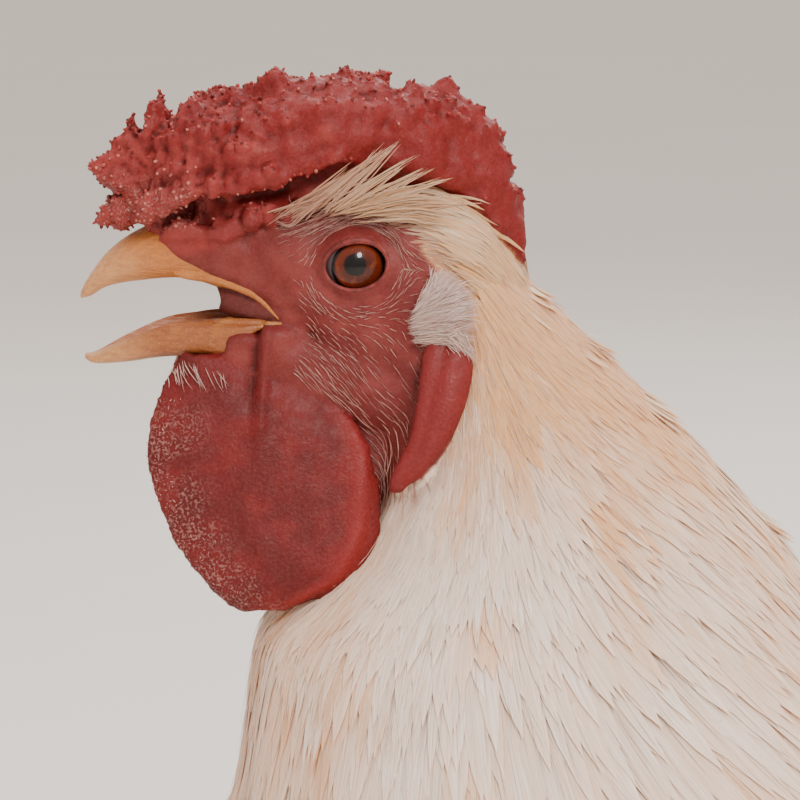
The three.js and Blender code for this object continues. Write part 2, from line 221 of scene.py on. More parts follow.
def meshTree(mesh):
    return BVHTree.FromPolygons(pointsOf(mesh).tolist(), [face.vertices[:] for face in mesh.polygons])


# a smooth curve through table rows, read at the shares u of the way along
def rowsAt(rows, u):
    rows = np.array(rows, float)
    place = np.clip(u, 0, 1) * (len(rows) - 1)
    first = np.minimum(place.astype(int), len(rows) - 2)
    f = (place - first)[:, None]
    a, b, c, d = [rows[np.clip(first + k, 0, len(rows) - 1)] for k in (-1, 0, 1, 2)]
    slopeB, slopeC, rise = (c - a) / 2, (d - b) / 2, c - b
    return b + f * (slopeB + f * (3 * rise - 2 * slopeB - slopeC + f * (slopeB + slopeC - 2 * rise)))


# the points that are left when none may be nearer to the last than its gap
def thinned(points, gaps):
    tree = KDTree(len(points))
    for index, point in enumerate(points.tolist()):
        tree.insert(point, index)
    tree.balance()
    kept, gone = [], np.zeros(len(points), bool)
    for index, point in enumerate(points.tolist()):
        if gone[index]:
            continue
        kept.append(index)
        for _, other, _ in tree.find_range(point, gaps[index]):
            gone[other] = True
    return np.array(kept, int)


# a round form whose pole runs along X or Z, with sections fitted to rows of
# [place, low side, high side, half width, middle in Y]
def addForm(work, axis, rows, rings=36, around=40, square=2.0, side=1):
    full = [list(row) + [0] * (5 - len(row)) for row in rows]
    verts = bmesh.ops.create_uvsphere(work, u_segments=around, v_segments=rings, radius=1)["verts"]
    ball = np.array([vert.co for vert in verts])
    turn = np.arctan2(ball[:, 1], ball[:, 0])
    end = np.where(np.abs(ball[:, 2]) > 0.99999, -np.sign(ball[:, 2]), 0)
    place, low, high, half, middle = rowsAt(full, (1 - ball[:, 2]) / 2).T

    def bend(values):
        return np.where(end == 0, np.sign(values) * np.abs(values) ** (2 / square), 0)

    off = (low + high) / 2 + bend(np.cos(turn)) * (high - low) / 2
    y = side * (middle + bend(np.sin(turn)) * half)
    points = np.stack([place, y, off] if axis == "x" else [off, y, place], 1)
    for vert, point in zip(verts, worldOf(points)):
        vert.co = point
    return verts


def templateFrom(work):
    bmesh.ops.remove_doubles(work, verts=work.verts, dist=1e-5)
    bmesh.ops.holes_fill(work, edges=work.edges)
    bmesh.ops.recalc_face_normals(work, faces=work.faces)
    bmesh.ops.triangulate(work, faces=work.faces)
    points = np.array([vert.co for vert in work.verts])
    corners = np.array([[vert.index for vert in face.verts] for face in work.faces])
    work.free()
    return {"points": points, "corners": corners}


# tapered, rounded fingers of flesh, each given as start, end, thick, thin
def addKnobs(work, knobs, around=12, rings=9):
    shape = bmesh.new()
    bmesh.ops.create_uvsphere(shape, u_segments=around, v_segments=rings, radius=1)
    ball = templateFrom(shape)
    x, y, z = ball["points"].T
    share = (z + 1) / 2
    points = []
    for start, end, thick, thin in knobs:
        start, end = Vector(start), Vector(end)
        turn = np.array((end - start).to_track_quat("Z", "Y").to_matrix())
        wide = thick + (thin - thick) * share
        finger = np.stack([x * wide, y * wide, share * (end - start).length], 1)
        points.append(np.array(start) + finger @ turn.T)
    corners = ball["corners"][None] + np.arange(len(knobs))[:, None, None] * len(x)
    mesh = bpy.data.meshes.new("knobs")
    mesh.from_pydata(worldOf(np.concatenate(points)).tolist(), [], corners.reshape(-1, 3).tolist())
    work.from_mesh(mesh)
    bpy.data.meshes.remove(mesh)


def closedForm(work):
    work.normal_update()  # a mirrored form still holds its old normals
    bmesh.ops.recalc_face_normals(work, faces=work.faces)
    return work


# materials

def newMaterial(name, roughness=0.6):
    material = bpy.data.materials.new(name)
    material.use_nodes = True
    shader = material.node_tree.nodes["Principled BSDF"]
    shader.inputs["Roughness"].default_value = roughness
    return material, material.node_tree, shader


def addNode(tree, kind, values=None, **settings):
    node = tree.nodes.new(kind)
    for key, value in settings.items():
        setattr(node, key, value)
    for key, value in (values or {}).items():
        if isinstance(value, bpy.types.NodeSocket):
            tree.links.new(value, node.inputs[key])
        else:
            node.inputs[key].default_value = value
    return node


def colourValue(value):
    return value if isinstance(value, bpy.types.NodeSocket) else (*tint(value), 1)


def mixNode(tree, factor, a, b, blend="MIX"):
    node = addNode(tree, "ShaderNodeMix", data_type="RGBA", blend_type=blend)
    for index, value in ((0, factor), (6, colourValue(a)), (7, colourValue(b))):
        if isinstance(value, bpy.types.NodeSocket):
            tree.links.new(value, node.inputs[index])
        else:
            node.inputs[index].default_value = value
    return node.outputs[2]


def mathNode(tree, operation, a, b=0.0):
    return addNode(tree, "ShaderNodeMath", {0: a, 1: b}, operation=operation).outputs[0]


# a colour washed over another, by a share times a strength
def washNode(tree, share, strength, colour, wash):
    return mixNode(tree, mathNode(tree, "MULTIPLY", share, strength), colour, wash)


def stainNode(tree, colour, stain):
    return mixNode(tree, 1.0, colour, stain, "MULTIPLY")


def stretchNode(tree, vector, scale):
    return addNode(tree, "ShaderNodeMapping", {"Vector": vector, "Scale": scale}).outputs["Vector"]


def setInputs(shader, values):
    for name, value in values.items():
        shader.inputs[name].default_value = value


def rangeNode(tree, value, low, high, start=0.0, end=1.0):
    values = {"Value": value, "From Min": low, "From Max": high, "To Min": start, "To Max": end}
    return addNode(tree, "ShaderNodeMapRange", values, interpolation_type="SMOOTHSTEP").outputs["Result"]


def noiseNode(tree, vector, pitch, detail=3.0, rough=0.55):
    values = {"Vector": vector, "Scale": 1 / pitch, "Detail": detail, "Roughness": rough}
    return addNode(tree, "ShaderNodeTexNoise", values).outputs["Fac"]


def cellNode(tree, vector, pitch):
    return addNode(tree, "ShaderNodeTexVoronoi", {"Vector": vector, "Scale": 1 / pitch}).outputs["Distance"]


def bumpNode(tree, height, distance, strength):
    values = {"Height": height, "Distance": distance, "Strength": strength}
    return addNode(tree, "ShaderNodeBump", values).outputs["Normal"]


def objectPlace(tree):
    return addNode(tree, "ShaderNodeTexCoord").outputs["Object"]


def attributeNode(tree, name, output="Color"):
    return addNode(tree, "ShaderNodeAttribute", attribute_name=name).outputs[output]


# bare skin: mottled, pored, soft to the light, with painted shade where it is folded in
def skinMaterial():
    material, tree, shader = newMaterial("bareSkin", 0.5)
    place = objectPlace(tree)
    tone = attributeNode(tree, "tone")
    hollow = attributeNode(tree, "hollow", "Fac")
    dry = attributeNode(tree, "dry", "Fac")
    mottle = rangeNode(tree, noiseNode(tree, place, 5 * mm, 3, 0.5), 0.25, 0.75)
    speck = rangeNode(tree, noiseNode(tree, place, 0.7 * mm, 3, 0.6), 0.35, 0.75)
    colour = mixNode(tree, 0.12, tone, mixNode(tree, mottle, "#6E2222", "#E58A7C"), "OVERLAY")
    colour = washNode(tree, speck, 0.05, colour, "#D08478")
    flake = rangeNode(tree, noiseNode(tree, place, 0.6 * mm, 2, 0.5), 0.48, 0.62)
    flaky = mathNode(tree, "MULTIPLY", flake, dry)
    colour = washNode(tree, flaky, 0.5, colour, "#B07C74")
    scab = rangeNode(tree, noiseNode(tree, place, 2.6 * mm, 1), 0.80, 0.84)
    colour = washNode(tree, scab, 0.7, colour, "#2E1211")
    # painted shade: darker by the hollow share, in the skin's folds and recesses
    colour = mixNode(tree, hollow, colour, stainNode(tree, colour, "#A04A44"))
    tree.links.new(colour, shader.inputs["Base Color"])
    pore = cellNode(tree, place, 0.55 * mm)
    fine = noiseNode(tree, place, 0.9 * mm, 4, 0.6)
    grain = mathNode(tree, "ADD", fine, mathNode(tree, "MULTIPLY", pore, 0.5))
    grain = mathNode(tree, "ADD", grain, mathNode(tree, "MULTIPLY", flaky, 2.4))
    tree.links.new(bumpNode(tree, grain, 0.19 * mm, 0.8), shader.inputs["Normal"])
    gloss = rangeNode(tree, noiseNode(tree, place, 2.2 * mm, 3), 0.3, 0.7, 0.42, 0.62)
    tree.links.new(gloss, shader.inputs["Roughness"])
    setInputs(shader, {"Subsurface Weight": 0.2, "Subsurface Radius": (1.0, 0.3, 0.2),
                       "Subsurface Scale": 1.2 * mm, "Specular IOR Level": 0.22})
    return material


# feathers: the root's own colour, streaked along the barbs
def featherMaterial(name, streaks, contrast, barbs=0.0):
    material, tree, shader = newMaterial(name, 0.72)
    tone = attributeNode(tree, "tone")
    vane = addNode(tree, "ShaderNodeUVMap", uv_map="vane").outputs["UV"]
    place = objectPlace(tree)
    stretched = stretchNode(tree, vane, (streaks, 1.2, 1))
    streak = rangeNode(tree, noiseNode(tree, stretched, 1.0, 2, 0.6), 0.3, 0.7)
    colour = washNode(tree, streak, contrast, tone, stainNode(tree, tone, "#EAC6A4"))
    patch = rangeNode(tree, noiseNode(tree, place, 14 * mm, 3), 0.42, 0.75)
    colour = washNode(tree, patch, 0.25, colour, stainNode(tree, tone, "#F0D6BC"))
    fleck = rangeNode(tree, noiseNode(tree, place, 1.6 * mm, 1), 0.78, 0.84)
    colour = washNode(tree, fleck, 0.3, colour, "#6A5546")
    tree.links.new(colour, shader.inputs["Base Color"])
    height = streak
    if barbs:  # fine lines that slant away from the shaft
        parts = addNode(tree, "ShaderNodeSeparateXYZ", {0: vane})
        fromEdge = mathNode(tree, "PINGPONG", parts.outputs[0], 2.0)
        across = mathNode(tree, "ABSOLUTE", mathNode(tree, "SUBTRACT", fromEdge, 1.0))
        slanted = mathNode(tree, "SUBTRACT", parts.outputs[1], mathNode(tree, "MULTIPLY", across, 0.18))
        line = mathNode(tree, "SINE", mathNode(tree, "MULTIPLY", slanted, barbs))
        height = mathNode(tree, "ADD", streak, mathNode(tree, "MULTIPLY", line, 0.35))
    tree.links.new(bumpNode(tree, height, 0.25 * mm, 0.7), shader.inputs["Normal"])
    setInputs(shader, {"Subsurface Weight": 0.25, "Subsurface Radius": (1.0, 0.8, 0.65),
                       "Subsurface Scale": 2.5 * mm, "Sheen Weight": 0.25, "Sheen Roughness": 0.4,
                       "Specular IOR Level": 0.25})
    return material


# beak, claws and spurs: grown in layers, paler at the worn tip
def hornMaterial():
    material, tree, shader = newMaterial("wornHorn", 0.42)
    place = objectPlace(tree)
    tone = attributeNode(tree, "tone")
    grown = stretchNode(tree, place, (0.3, 1.4, 1.4))
    layer = rangeNode(tree, noiseNode(tree, grown, 1.1 * mm, 4, 0.6), 0.3, 0.75)
    colour = washNode(tree, layer, 0.45, tone, stainNode(tree, tone, "#B98A5A"))
    dust = rangeNode(tree, noiseNode(tree, place, 0.5 * mm, 3), 0.5, 0.8)
    colour = washNode(tree, dust, 0.16, colour, "#EBCDA4")
    tree.links.new(colour, shader.inputs["Base Color"])
    tree.links.new(bumpNode(tree, layer, 0.2 * mm, 0.6), shader.inputs["Normal"])
    tree.links.new(rangeNode(tree, layer, 0, 1, 0.34, 0.52), shader.inputs["Roughness"])
    setInputs(shader, {"Subsurface Weight": 0.12, "Subsurface Radius": (1.0, 0.6, 0.3),
                       "Subsurface Scale": 1.0 * mm})
    return material


def scaleMaterial():
    material, tree, shader = newMaterial("legScales", 0.5)
    place = objectPlace(tree)
    tone = attributeNode(tree, "tone")
    hollow = attributeNode(tree, "hollow", "Fac")
    grime = rangeNode(tree, noiseNode(tree, place, 4 * mm, 5, 0.65), 0.35, 0.75)
    colour = washNode(tree, grime, 0.25, tone, "#B0844A")
    colour = washNode(tree, hollow, 0.5, colour, stainNode(tree, colour, "#B8946A"))
    tree.links.new(colour, shader.inputs["Base Color"])
    grain = noiseNode(tree, place, 0.8 * mm, 4, 0.6)
    tree.links.new(bumpNode(tree, grain, 0.15 * mm, 0.7), shader.inputs["Normal"])
    tree.links.new(rangeNode(tree, grime, 0, 1, 0.42, 0.62), shader.inputs["Roughness"])
    return material


# rings about each eye's own axis: pupil, iris with its fibres, dark rim, grey lid within
iris = {"pupil": 2.35, "edge": 5.2, "rim": 5.65, "middle": (0.7, -0.55), "pupilMiddle": (0.05, 0.2)}


def eyeMaterial():
    material, tree, shader = newMaterial("wetEye", 0.25)
    place = objectPlace(tree)

    def flatFrom(offset):
        middle = fromEye(offset[0], 0, offset[1])
        return addNode(tree, "ShaderNodeMapping", {
            "Vector": place, "Location": (-middle.x / mm, 0, -middle.z / mm),
            "Scale": (1 / mm, 0, 1 / mm)}).outputs["Vector"]

    def lengthOf(flat):
        return addNode(tree, "ShaderNodeVectorMath", {0: flat}, operation="LENGTH").outputs["Value"]

    flat = flatFrom(iris["middle"])
    radius, pupil = lengthOf(flat), lengthOf(flatFrom(iris["pupilMiddle"]))
    spoke = addNode(tree, "ShaderNodeVectorMath", {0: flat}, operation="NORMALIZE").outputs["Vector"]
    fibre = noiseNode(tree, spoke, 0.09, 3, 0.6)
    cloud = noiseNode(tree, flat, 1.8, 2)
    hole, edge, rim = iris["pupil"], iris["edge"], iris["rim"]
    colour = mixNode(tree, rangeNode(tree, radius, hole, edge), "#42160A", "#6C240E")
    colour = mixNode(tree, rangeNode(tree, radius, edge - 1.2, edge), colour, "#58200E")
    colour = washNode(tree, rangeNode(tree, fibre, 0.35, 0.7), 0.45, colour, "#3E1606")
    colour = washNode(tree, rangeNode(tree, cloud, 0.55, 0.75), 0.35, colour, "#98461A")
    for reach, start, end, ring in ((pupil, hole + 0.25, hole - 0.25, "#080606"),
                                    (radius, edge - 0.55, edge, "#0E0A0A"),
                                    (radius, rim - 0.15, rim + 0.2, "#5A4E50")):
        colour = mixNode(tree, rangeNode(tree, reach, start, end), colour, ring)
    tree.links.new(colour, shader.inputs["Base Color"])
    tree.links.new(bumpNode(tree, fibre, 0.1 * mm, 0.3), shader.inputs["Normal"])
    setInputs(shader, {"Specular IOR Level": 0.08, "Coat Weight": 0.5, "Coat Roughness": 0.03})
    return material


def floorMaterial():
    material, tree, shader = newMaterial("paleFloor", 0.8)
    shade = noiseNode(tree, objectPlace(tree), 0.4, 3)
    tree.links.new(mixNode(tree, shade, "#E2DDD6", "#E8E4DE"), shader.inputs["Base Color"])
    return material


skinLook = skinMaterial()
hornLook = hornMaterial()
legLook = scaleMaterial()
eyeLook = eyeMaterial()
hackleLook = featherMaterial("silkyFeather", 5.0, 0.45)
bodyLook = featherMaterial("bodyFeather", 1.6, 0.35, barbs=150.0)
quillLook = featherMaterial("quillFeather", 1.4, 0.3, barbs=420.0)
print("materials made")


def finishPiece(body, look, replaced=()):
    body.data.materials.clear()
    body.data.materials.append(look)
    smoothShade(body)
    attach(body, "root")
    if replaced:
        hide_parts(*replaced)
    triangles = sum(len(face.vertices) - 2 for face in body.data.polygons)
    print(f"{body.name}: {triangles} triangles")
    return body


def bothSides(*names):
    return [f"{name}_{side}" for name in names for side in sides]


# colours that skin and coat share

plumage = {"cream": "#F6E4D4", "white": "#FAEEE2", "buff": "#EFB680", "straw": "#F0D4B0"}


def throatLine(z):
    return np.interp(z, [-152, -112, -88, -61, -20, 20], [-30, -26, -24, 0, 8, 8])


def napeLine(z):
    return np.interp(z, [-150, -112, -61, -22, 10, 30], [150, 134, 92, 54, 26, 20])


def plumageTone(points, jitter=0.0):
    x, _, z = localOf(points).T
    back = np.clip((x - throatLine(z)) / (napeLine(z) - throatLine(z)), 0, 1)
    neck = ease(z, -190, -120) * (1 - ease(x, 100, 170))
    onHead = 1 - ease(x, 50, 80)
    near = ease(z, -50, -16) * onHead
    front = 1 - ease(back, 0.02, 0.2)
    crown = ease(z, -30, 5) * onHead
    patch = noiseOf(points, 22 * mm, 2) * 0.5
    streak = noiseOf(points * (1, 1, 0.22), 9 * mm, 2, 6)
    buff = neck * (0.06 + 0.26 * ease(back, 0.25, 0.95) + 0.38 * front + 0.5 * ease(streak, 0.05, 0.6))
    buff += 0.62 * near + 0.4 * crown
    buff = np.clip(buff + 0.3 * patch + jitter, 0, 1)
    body = np.clip(0.12 + 0.18 * ease(z, -160, -110) + 0.3 * patch, 0, 0.5) * (1 - neck)
    tone = blend(plumage["cream"], plumage["white"], ease(patch, -0.3, 0.4))
    tone = mixed(tone, tint(plumage["straw"]), body)
    return mixed(tone, tint(plumage["buff"]), buff)


# skin

head = {
    "cranium": [  # x, low, high, half width
        [-33, -3, 5, 5], [-27, -6, 8, 9.5], [-20, -10, 11, 12], [-12, -16, 14, 14.2],
        [-3, -27, 16.5, 15.4], [7, -35, 17.5, 16.4], [17, -38, 16.5, 17], [27, -34, 10, 14.5],
        [36, -22, -4, 8]],
    "jaw": [
        [-28.4, -23, -15.6, 8], [-26.6, -27, -14.1, 11.4], [-23, -29.5, -13.5, 12.4], [-16, -33, -12.6, 13],
        [-8, -36, -12, 13.6], [2, -39, -10, 14.8], [11, -41, -10, 15], [20, -41, -14, 13], [28, -37, -20, 7]],
    "cere": [
        [-42.5, 2.6, 7, 4.5], [-38.5, -0.8, 9, 8], [-33.5, -3.2, 9, 9.5], [-29, -5.4, 8.5, 10.4],
        [-24, -7.8, 8, 11.5], [-20, -10.2, 6, 12.2], [-16.5, -12.6, 4, 12.6], [-12, -13, 2, 12.4]],
    "gape": [  # skin that covers the root of the lower beak
        [-28.2, -22, -16.6, 8.6], [-26.4, -23, -15.2, 11.8], [-21.5, -24, -14.2, 12.7],
        [-16, -24, -13.2, 13.1], [-10, -22, -13.4, 11]],
    "gullet": [
        [-31.5, -8.4, -6, 2.5], [-28, -12.6, -5.2, 6.6], [-23, -14.2, -6, 9.3],
        [-17, -15, -7, 10.8], [-10, -16, -8, 12]],
    "throat": [  # z, front, back, half width
        [-26, -19, 20, 10], [-36, -17, 20, 10.5], [-48, -15, 22, 11], [-58, -13, 24, 11], [-72, 0, 24, 9]],
    "upperNeck": [
        [14, 6, 22, 10], [-8, 4, 36, 15.5], [-30, 4, 60, 21], [-60, 2, 88, 38], [-84, -16, 104, 52]],
    "lid": 0.95, "voxel": 0.66 * mm,
}
squareness = {"cranium": 2.3, "jaw": 2.2, "cere": 2.8, "gape": 5, "gullet": 2.4}  # 2 is round
palate = [  # the hollow of the upper beak, closed by the gullet behind
    [-56.5, -11, -7.2, 0.6], [-52.5, -11, -5, 2.4], [-43, -11, -3.3, 4.5], [-35, -11, -3.4, 6.2],
    [-29, -11.4, -6, 6], [-26, -12, -9, 3]]
trough = [
    [-55.8, -20.6, -14, 1.2], [-50, -20, -11, 4.4], [-42, -18.6, -11, 6.4], [-34, -16.4, -11, 7.7],
    [-28, -15.4, -11.4, 7], [-25, -14.6, -12.4, 3]]
wattle = {  # z, front, back, half thickness, middle in Y
    "rows": [
        [-20, -37, -24, 2.4, 8.5], [-26, -40.5, -10, 3.2, 10.4], [-34, -43.6, -1, 3.4, 12.6],
        [-44, -44, 4, 3.3, 14.8], [-54, -40.6, 5.4, 3.3, 16.6], [-62, -36.2, 3.6, 3.4, 18],
        [-69, -30.5, -3.4, 3.2, 18.6], [-73.4, -25, -15, 1.8, 18.4]],
    "foldX": -19.6, "foldDepth": 1.3,
}
lobeRows = [
    [-13, 16, 22, 2, 17.6], [-19, 14, 24.6, 3, 19.6], [-27, 13, 23.6, 3.4, 21.6],
    [-36, 11, 20, 3.2, 22.6], [-44, 7.4, 14, 2.4, 22.2], [-47.5, 7, 10, 1.2, 21.6]]
fissure = {"halfLength": 6.6, "halfHeight": 5.1, "tilt": 8, "middleX": 0.2, "middleZ": -0.05}

comb = {
    "fingers": [  # root, tip, thick, thin
        [(-44, -2, 16), (-57, -3, 21), 4.6, 1.7], [(-45, -3, 18), (-48.4, -4, 31), 3.8, 2.0],
        [(-47, -3.5, 20), (-51.5, -4, 28), 3.0, 1.6], [(-41.6, -4, 20), (-42.2, -5, 36), 3.0, 1.7],
        [(-42, 5, 20), (-43.5, 6, 33), 3.6, 1.8], [(-34, 6, 26), (-34.5, 7, 36.5), 4.0, 2.0],
        [(-34, -7, 26), (-34, -8, 35.8), 4.2, 2.4], [(-30, -8, 28), (-29, -8, 36.2), 4.8, 2.4],
        [(-46, -1, 11), (-55.4, -2, 7.4), 4.4, 2.0], [(-46, 4, 13), (-54, 6, 15), 4.2, 1.8],
        [(-25, -7, 30), (-26.5, -8, 38.2), 4.2, 2.4], [(-18, -5, 32), (-17, -5, 41), 4.4, 2.2],
        [(18, 0, 32), (19, 0, 39.5), 4.4, 2.6], [(12, -1, 32), (13.5, -1, 38.6), 3.4, 2.2]],
    "notches": [  # x, lowest point, half width, half height
        [-51.6, 22.6, 1.9, 9], [-45.3, 27.2, 1.7, 9], [-38.0, 26.8, 2.0, 10], [-22.5, 36.4, 1.6, 7],
        [8.5, 35.4, 3.0, 6], [37.5, 16, 5.5, 2.4], [27.5, 33.5, 2.2, 6]],
    "lip": [  # the lower edge of the overhanging side
        (-44, 9.5, 10.4), (-39, 13, 13.4), (-35, 15.4, 14.2), (-31, 16.4, 16.6), (-27.5, 17, 16.0),
        (-22, 18, 17.6), (-16.5, 18.4, 18.0), (-12, 18.6, 20.4), (-8, 18.6, 21), (-3, 17.4, 24)],
    "lipThick": 2.8,
    "base": [
        (-42.5, 4, 6.5), (-38, 7, 5.5), (-33, 9, 6.5), (-28, 10.3, 7), (-22, 11.6, 8.5), (-15, 12.6, 10.5)],
    "knobGap": 2.4, "settle": 1.4, "knobs": (0.8, 1.55),
}


# the height of the comb's lower edge, or a little under it
def lipLine(x, drop):
    lip = np.array(comb["lip"])
    return np.interp(x, lip[:, 0], lip[:, 2] - drop)


# where the wattle's rear ridge runs, and its front edge
def wattleRidge(z):
    return np.interp(z, [-74, -66, -56, -40, -28], [-18, -4, 0.6, 1.6, -4])


def wattleFront(z):
    return np.interp(z, [-75, -63, -44, -25], [-27, -35, -43.5, -40])


def lumps(points):
    return noiseOf(points, 3.4 * mm, 2, 3)


def flutes(points):
    return noiseOf(points * (1, 0.4, 0.3), 5.2 * mm, 2, 13)


# a place on the opening of the lids, turned with it
def tilted(x, z):
    turn = math.radians(fissure["tilt"])
    return x * math.cos(turn) - z * math.sin(turn), x * math.sin(turn) + z * math.cos(turn)


def addEyeRound(work, side, radius, around=40, rings=24):
    ball = bmesh.ops.create_uvsphere(work, u_segments=around, v_segments=rings, radius=radius)["verts"]
    bmesh.ops.translate(work, verts=ball, vec=eyeMid + Vector((0, side * eyeOut, 0)))


# the comb's solid, notched along its edge between the fingers
def combMass():
    body = remeshed(objectFrom("combMass", nodeCopy(["comb"])), 0.9 * mm)
    for x, z, wide, tall in comb["notches"]:
        notch = bmesh.new()
        ball = bmesh.ops.create_uvsphere(notch, u_segments=20, v_segments=14, radius=1 * mm)["verts"]
        bmesh.ops.scale(notch, verts=ball, vec=(wide, 30, tall))
        bmesh.ops.translate(notch, verts=ball, vec=fromEye(x, 0, z + tall * (1 if wide < tall else 0)))
        combined(body, objectFrom("notch", closedForm(notch)), "DIFFERENCE")
    return body


# its fingers in front, a heavy lower lip, a rough base and knobs all over its top
def combForms(work, mass):
    found = bmesh.new()
    found.from_mesh(mass.data)
    tree = treeOf(found)
    knobs = list(comb["fingers"])
    for way in sides.values():
        spots = rowsAt(comb["lip"], np.linspace(0, 1, 17)) * (1, way, 1)
        for start, end in zip(spots[:-1], spots[1:]):
            thick = comb["lipThick"] * dice.uniform(0.7, 1.15)
            middle = (start + end) / 2 + dice.normal(0, 0.45, 3)
            knobs.append((middle - (0, way * 0.6, 2.4), middle + (0, way * -0.8, 4.5), thick, thick))
        for x, y, z in rowsAt(comb["base"], np.linspace(0, 1, 12)):
            middle = np.array((x, y * way, z)) + dice.normal(0, 0.5, 3)
            knobs.append((middle - (0, 0, 2.5), middle + (0, 0, 3), dice.uniform(1.8, 2.8), 2.0))
    spots = np.stack([dice.uniform(-57, 36, 2600), dice.uniform(-21, 21, 2600), np.full(2600, 60.0)], 1)
    hits = [tree.ray_cast(Vector(spot), Vector((0, 0, -1))) for spot in worldOf(spots).tolist()]
    places = np.array([hit[0] for hit in hits if hit[0] is not None and hit[1].z > 0.3])
    outs = np.array([hit[1] for hit in hits if hit[0] is not None and hit[1].z > 0.3])
    for index in thinned(places, np.full(len(places), comb["knobGap"] * mm)):
        place, radius = localOf(places[index]), dice.uniform(*comb["knobs"])
        aim = unit(outs[index] + dice.normal(0, 0.35, 3) + (0, 0, 0.4))
        knobs.append((place - aim * 1.5, place + aim * radius * dice.uniform(0.7, 1.5), radius, radius * 0.7))
    addKnobs(work, knobs)


def faceForms(work):
    for form in ("cranium", "jaw", "cere", "gape", "gullet"):
        addForm(work, "x", head[form], square=squareness[form])
    for side in sides.values():
        addEyeRound(work, side, eyeRadius + head["lid"] * mm)
    addForm(work, "z", head["throat"])
    addForm(work, "z", head["upperNeck"])


def wattleForms(work):
    for side in sides.values():
        addForm(work, "z", wattle["rows"], rings=40, around=40, side=side)


def lobeForms(work):
    for side in sides.values():
        addForm(work, "z", lobeRows, rings=30, around=30, side=side)


def mouthRoom():
    work = bmesh.new()
    addForm(work, "x", palate, rings=40, around=32)
    addForm(work, "x", trough, rings=40, around=32)
    return closedForm(work)


def treeFrom(*adders):
    work = bmesh.new()
    for adder in adders:
        adder(work)
    return treeOf(work)


def distancesTo(tree, points):
    return np.array([tree.find_nearest(p)[3] for p in points.tolist()])


# which of the chosen points lie within a distance of a form
def nearOnes(tree, points, chosen, within):
    kept = chosen.copy()
    kept[chosen] = distancesTo(tree, points[chosen]) < within
    return kept


kinds = {"face": treeFrom(faceForms), "comb": treeOf(nodeCopy(["comb"])), "wattle": treeFrom(wattleForms),
         "lobe": treeFrom(lobeForms)}


# each point's share of face, comb, wattle and lobe
def kindShares(mesh, points, times):
    far = np.stack([distancesTo(tree, points) for tree in kinds.values()], 1)
    nearest = (far < far.min(1, keepdims=True) + 0.25 * mm).astype(float)
    shares = spreadOut(mesh, nearest / nearest.sum(1, keepdims=True), times)
    return dict(zip(kinds, shares.T))


relief = {  # how high or deep the skin's folds are, in millimetres
    "fold": 1.6, "lipCrease": 1.8, "underLip": 3.6, "drape": 0.2, "wattleEdge": 0.55, "wattleTier": 0.95,
    "lobeFold": 0.7, "lidRim": 0.45, "upperCrease": 0.40, "lowerCrease": 0.30,
}


# all the flesh in one form, then folded, creased and roughened by kind
def headSkin():
    work, mass = bmesh.new(), combMass()
    for adder in (faceForms, wattleForms, lobeForms):
        adder(work)
    combForms(work, mass)
    work.from_mesh(mass.data)
    bpy.data.objects.remove(mass)
    forms = objectFrom("skin", work)
    points = pointsOf(forms.data)
    points[:, 2] -= comb["settle"] * mm * ease(localOf(points)[:, 2], 12, 26)
    setPoints(forms.data, points)
    body = remeshed(forms, head["voxel"], 3)
    mesh = body.data
    points, normals = pointsOf(mesh), normalsOf(mesh)
    share = kindShares(mesh, points, 4)
    x, y, z = localOf(points).T

    fold = noiseOf(points, 9 * mm, 2)
    lump, flute = lumps(points), flutes(points)
    wart = noiseOf(points, 1.3 * mm, 2, 7)
    crumple = ease(-x, 8, 34)
    crease = bell(z, lipLine(x, relief["underLip"]), 1.3) * ease(x, -44, -38)
    crease = crease * (1 - ease(x, -4, 2)) * (np.abs(y) > 7)
    rise = share["comb"] * (relief["fold"] * fold + (0.4 + 0.5 * crumple) * lump
                            + (0.2 + 0.3 * crumple) * wart + (0.25 + 1.1 * crumple) * flute
                            - relief["lipCrease"] * crease)

    edge = 1 - ease(np.abs(normals[:, 1]), 0.2, 0.75)
    drape = noiseOf(points * (1, 1, 0.45), 4 * mm, 2, 11)
    line = x - wattle["foldX"] - 0.9 * np.sin((z + 20) / 11)
    groove = (bell(line, -1.6, 1.3) * ease(z, -34, -24) - 0.8 * bell(line, 0.4, 1.5)) * ease(z, -46, -32)
    outer = (np.abs(y) > 9) * (1 - ease(np.abs(y), 24, 26))
    tier = bell(x, wattleRidge(z), 2.0)
    rise += share["wattle"] * (relief["drape"] * drape + relief["wattleEdge"] * edge * lump
                               + 0.15 * wart * edge + relief["wattleTier"] * tier * ease(z, -74, -60))
    rise -= np.maximum(share["wattle"], share["face"] * (z < -13)) * wattle["foldDepth"] * groove * outer
    lobeLine = np.interp(z, [-44, -16], [11.5, 18.6])
    rise += share["lobe"] * (relief["drape"] * drape - relief["lobeFold"] * bell(x, lobeLine, 1.6))

    ring = np.hypot((x - fissure["middleX"]) / 1.2, z - fissure["middleZ"])
    above = ease(z, -2, 3)
    rise += share["face"] * (0.2 * lump + relief["lidRim"] * bell(ring, 5.8, 1.1)
                             - relief["upperCrease"] * bell(ring, 8.2, 0.8) * (0.4 + 0.6 * above)
                             - relief["lowerCrease"] * bell(ring, 7.0, 0.5) * (1 - above)) * (np.abs(y) > 8)
    setPoints(mesh, points + normals * (rise * mm)[:, None])
    return body


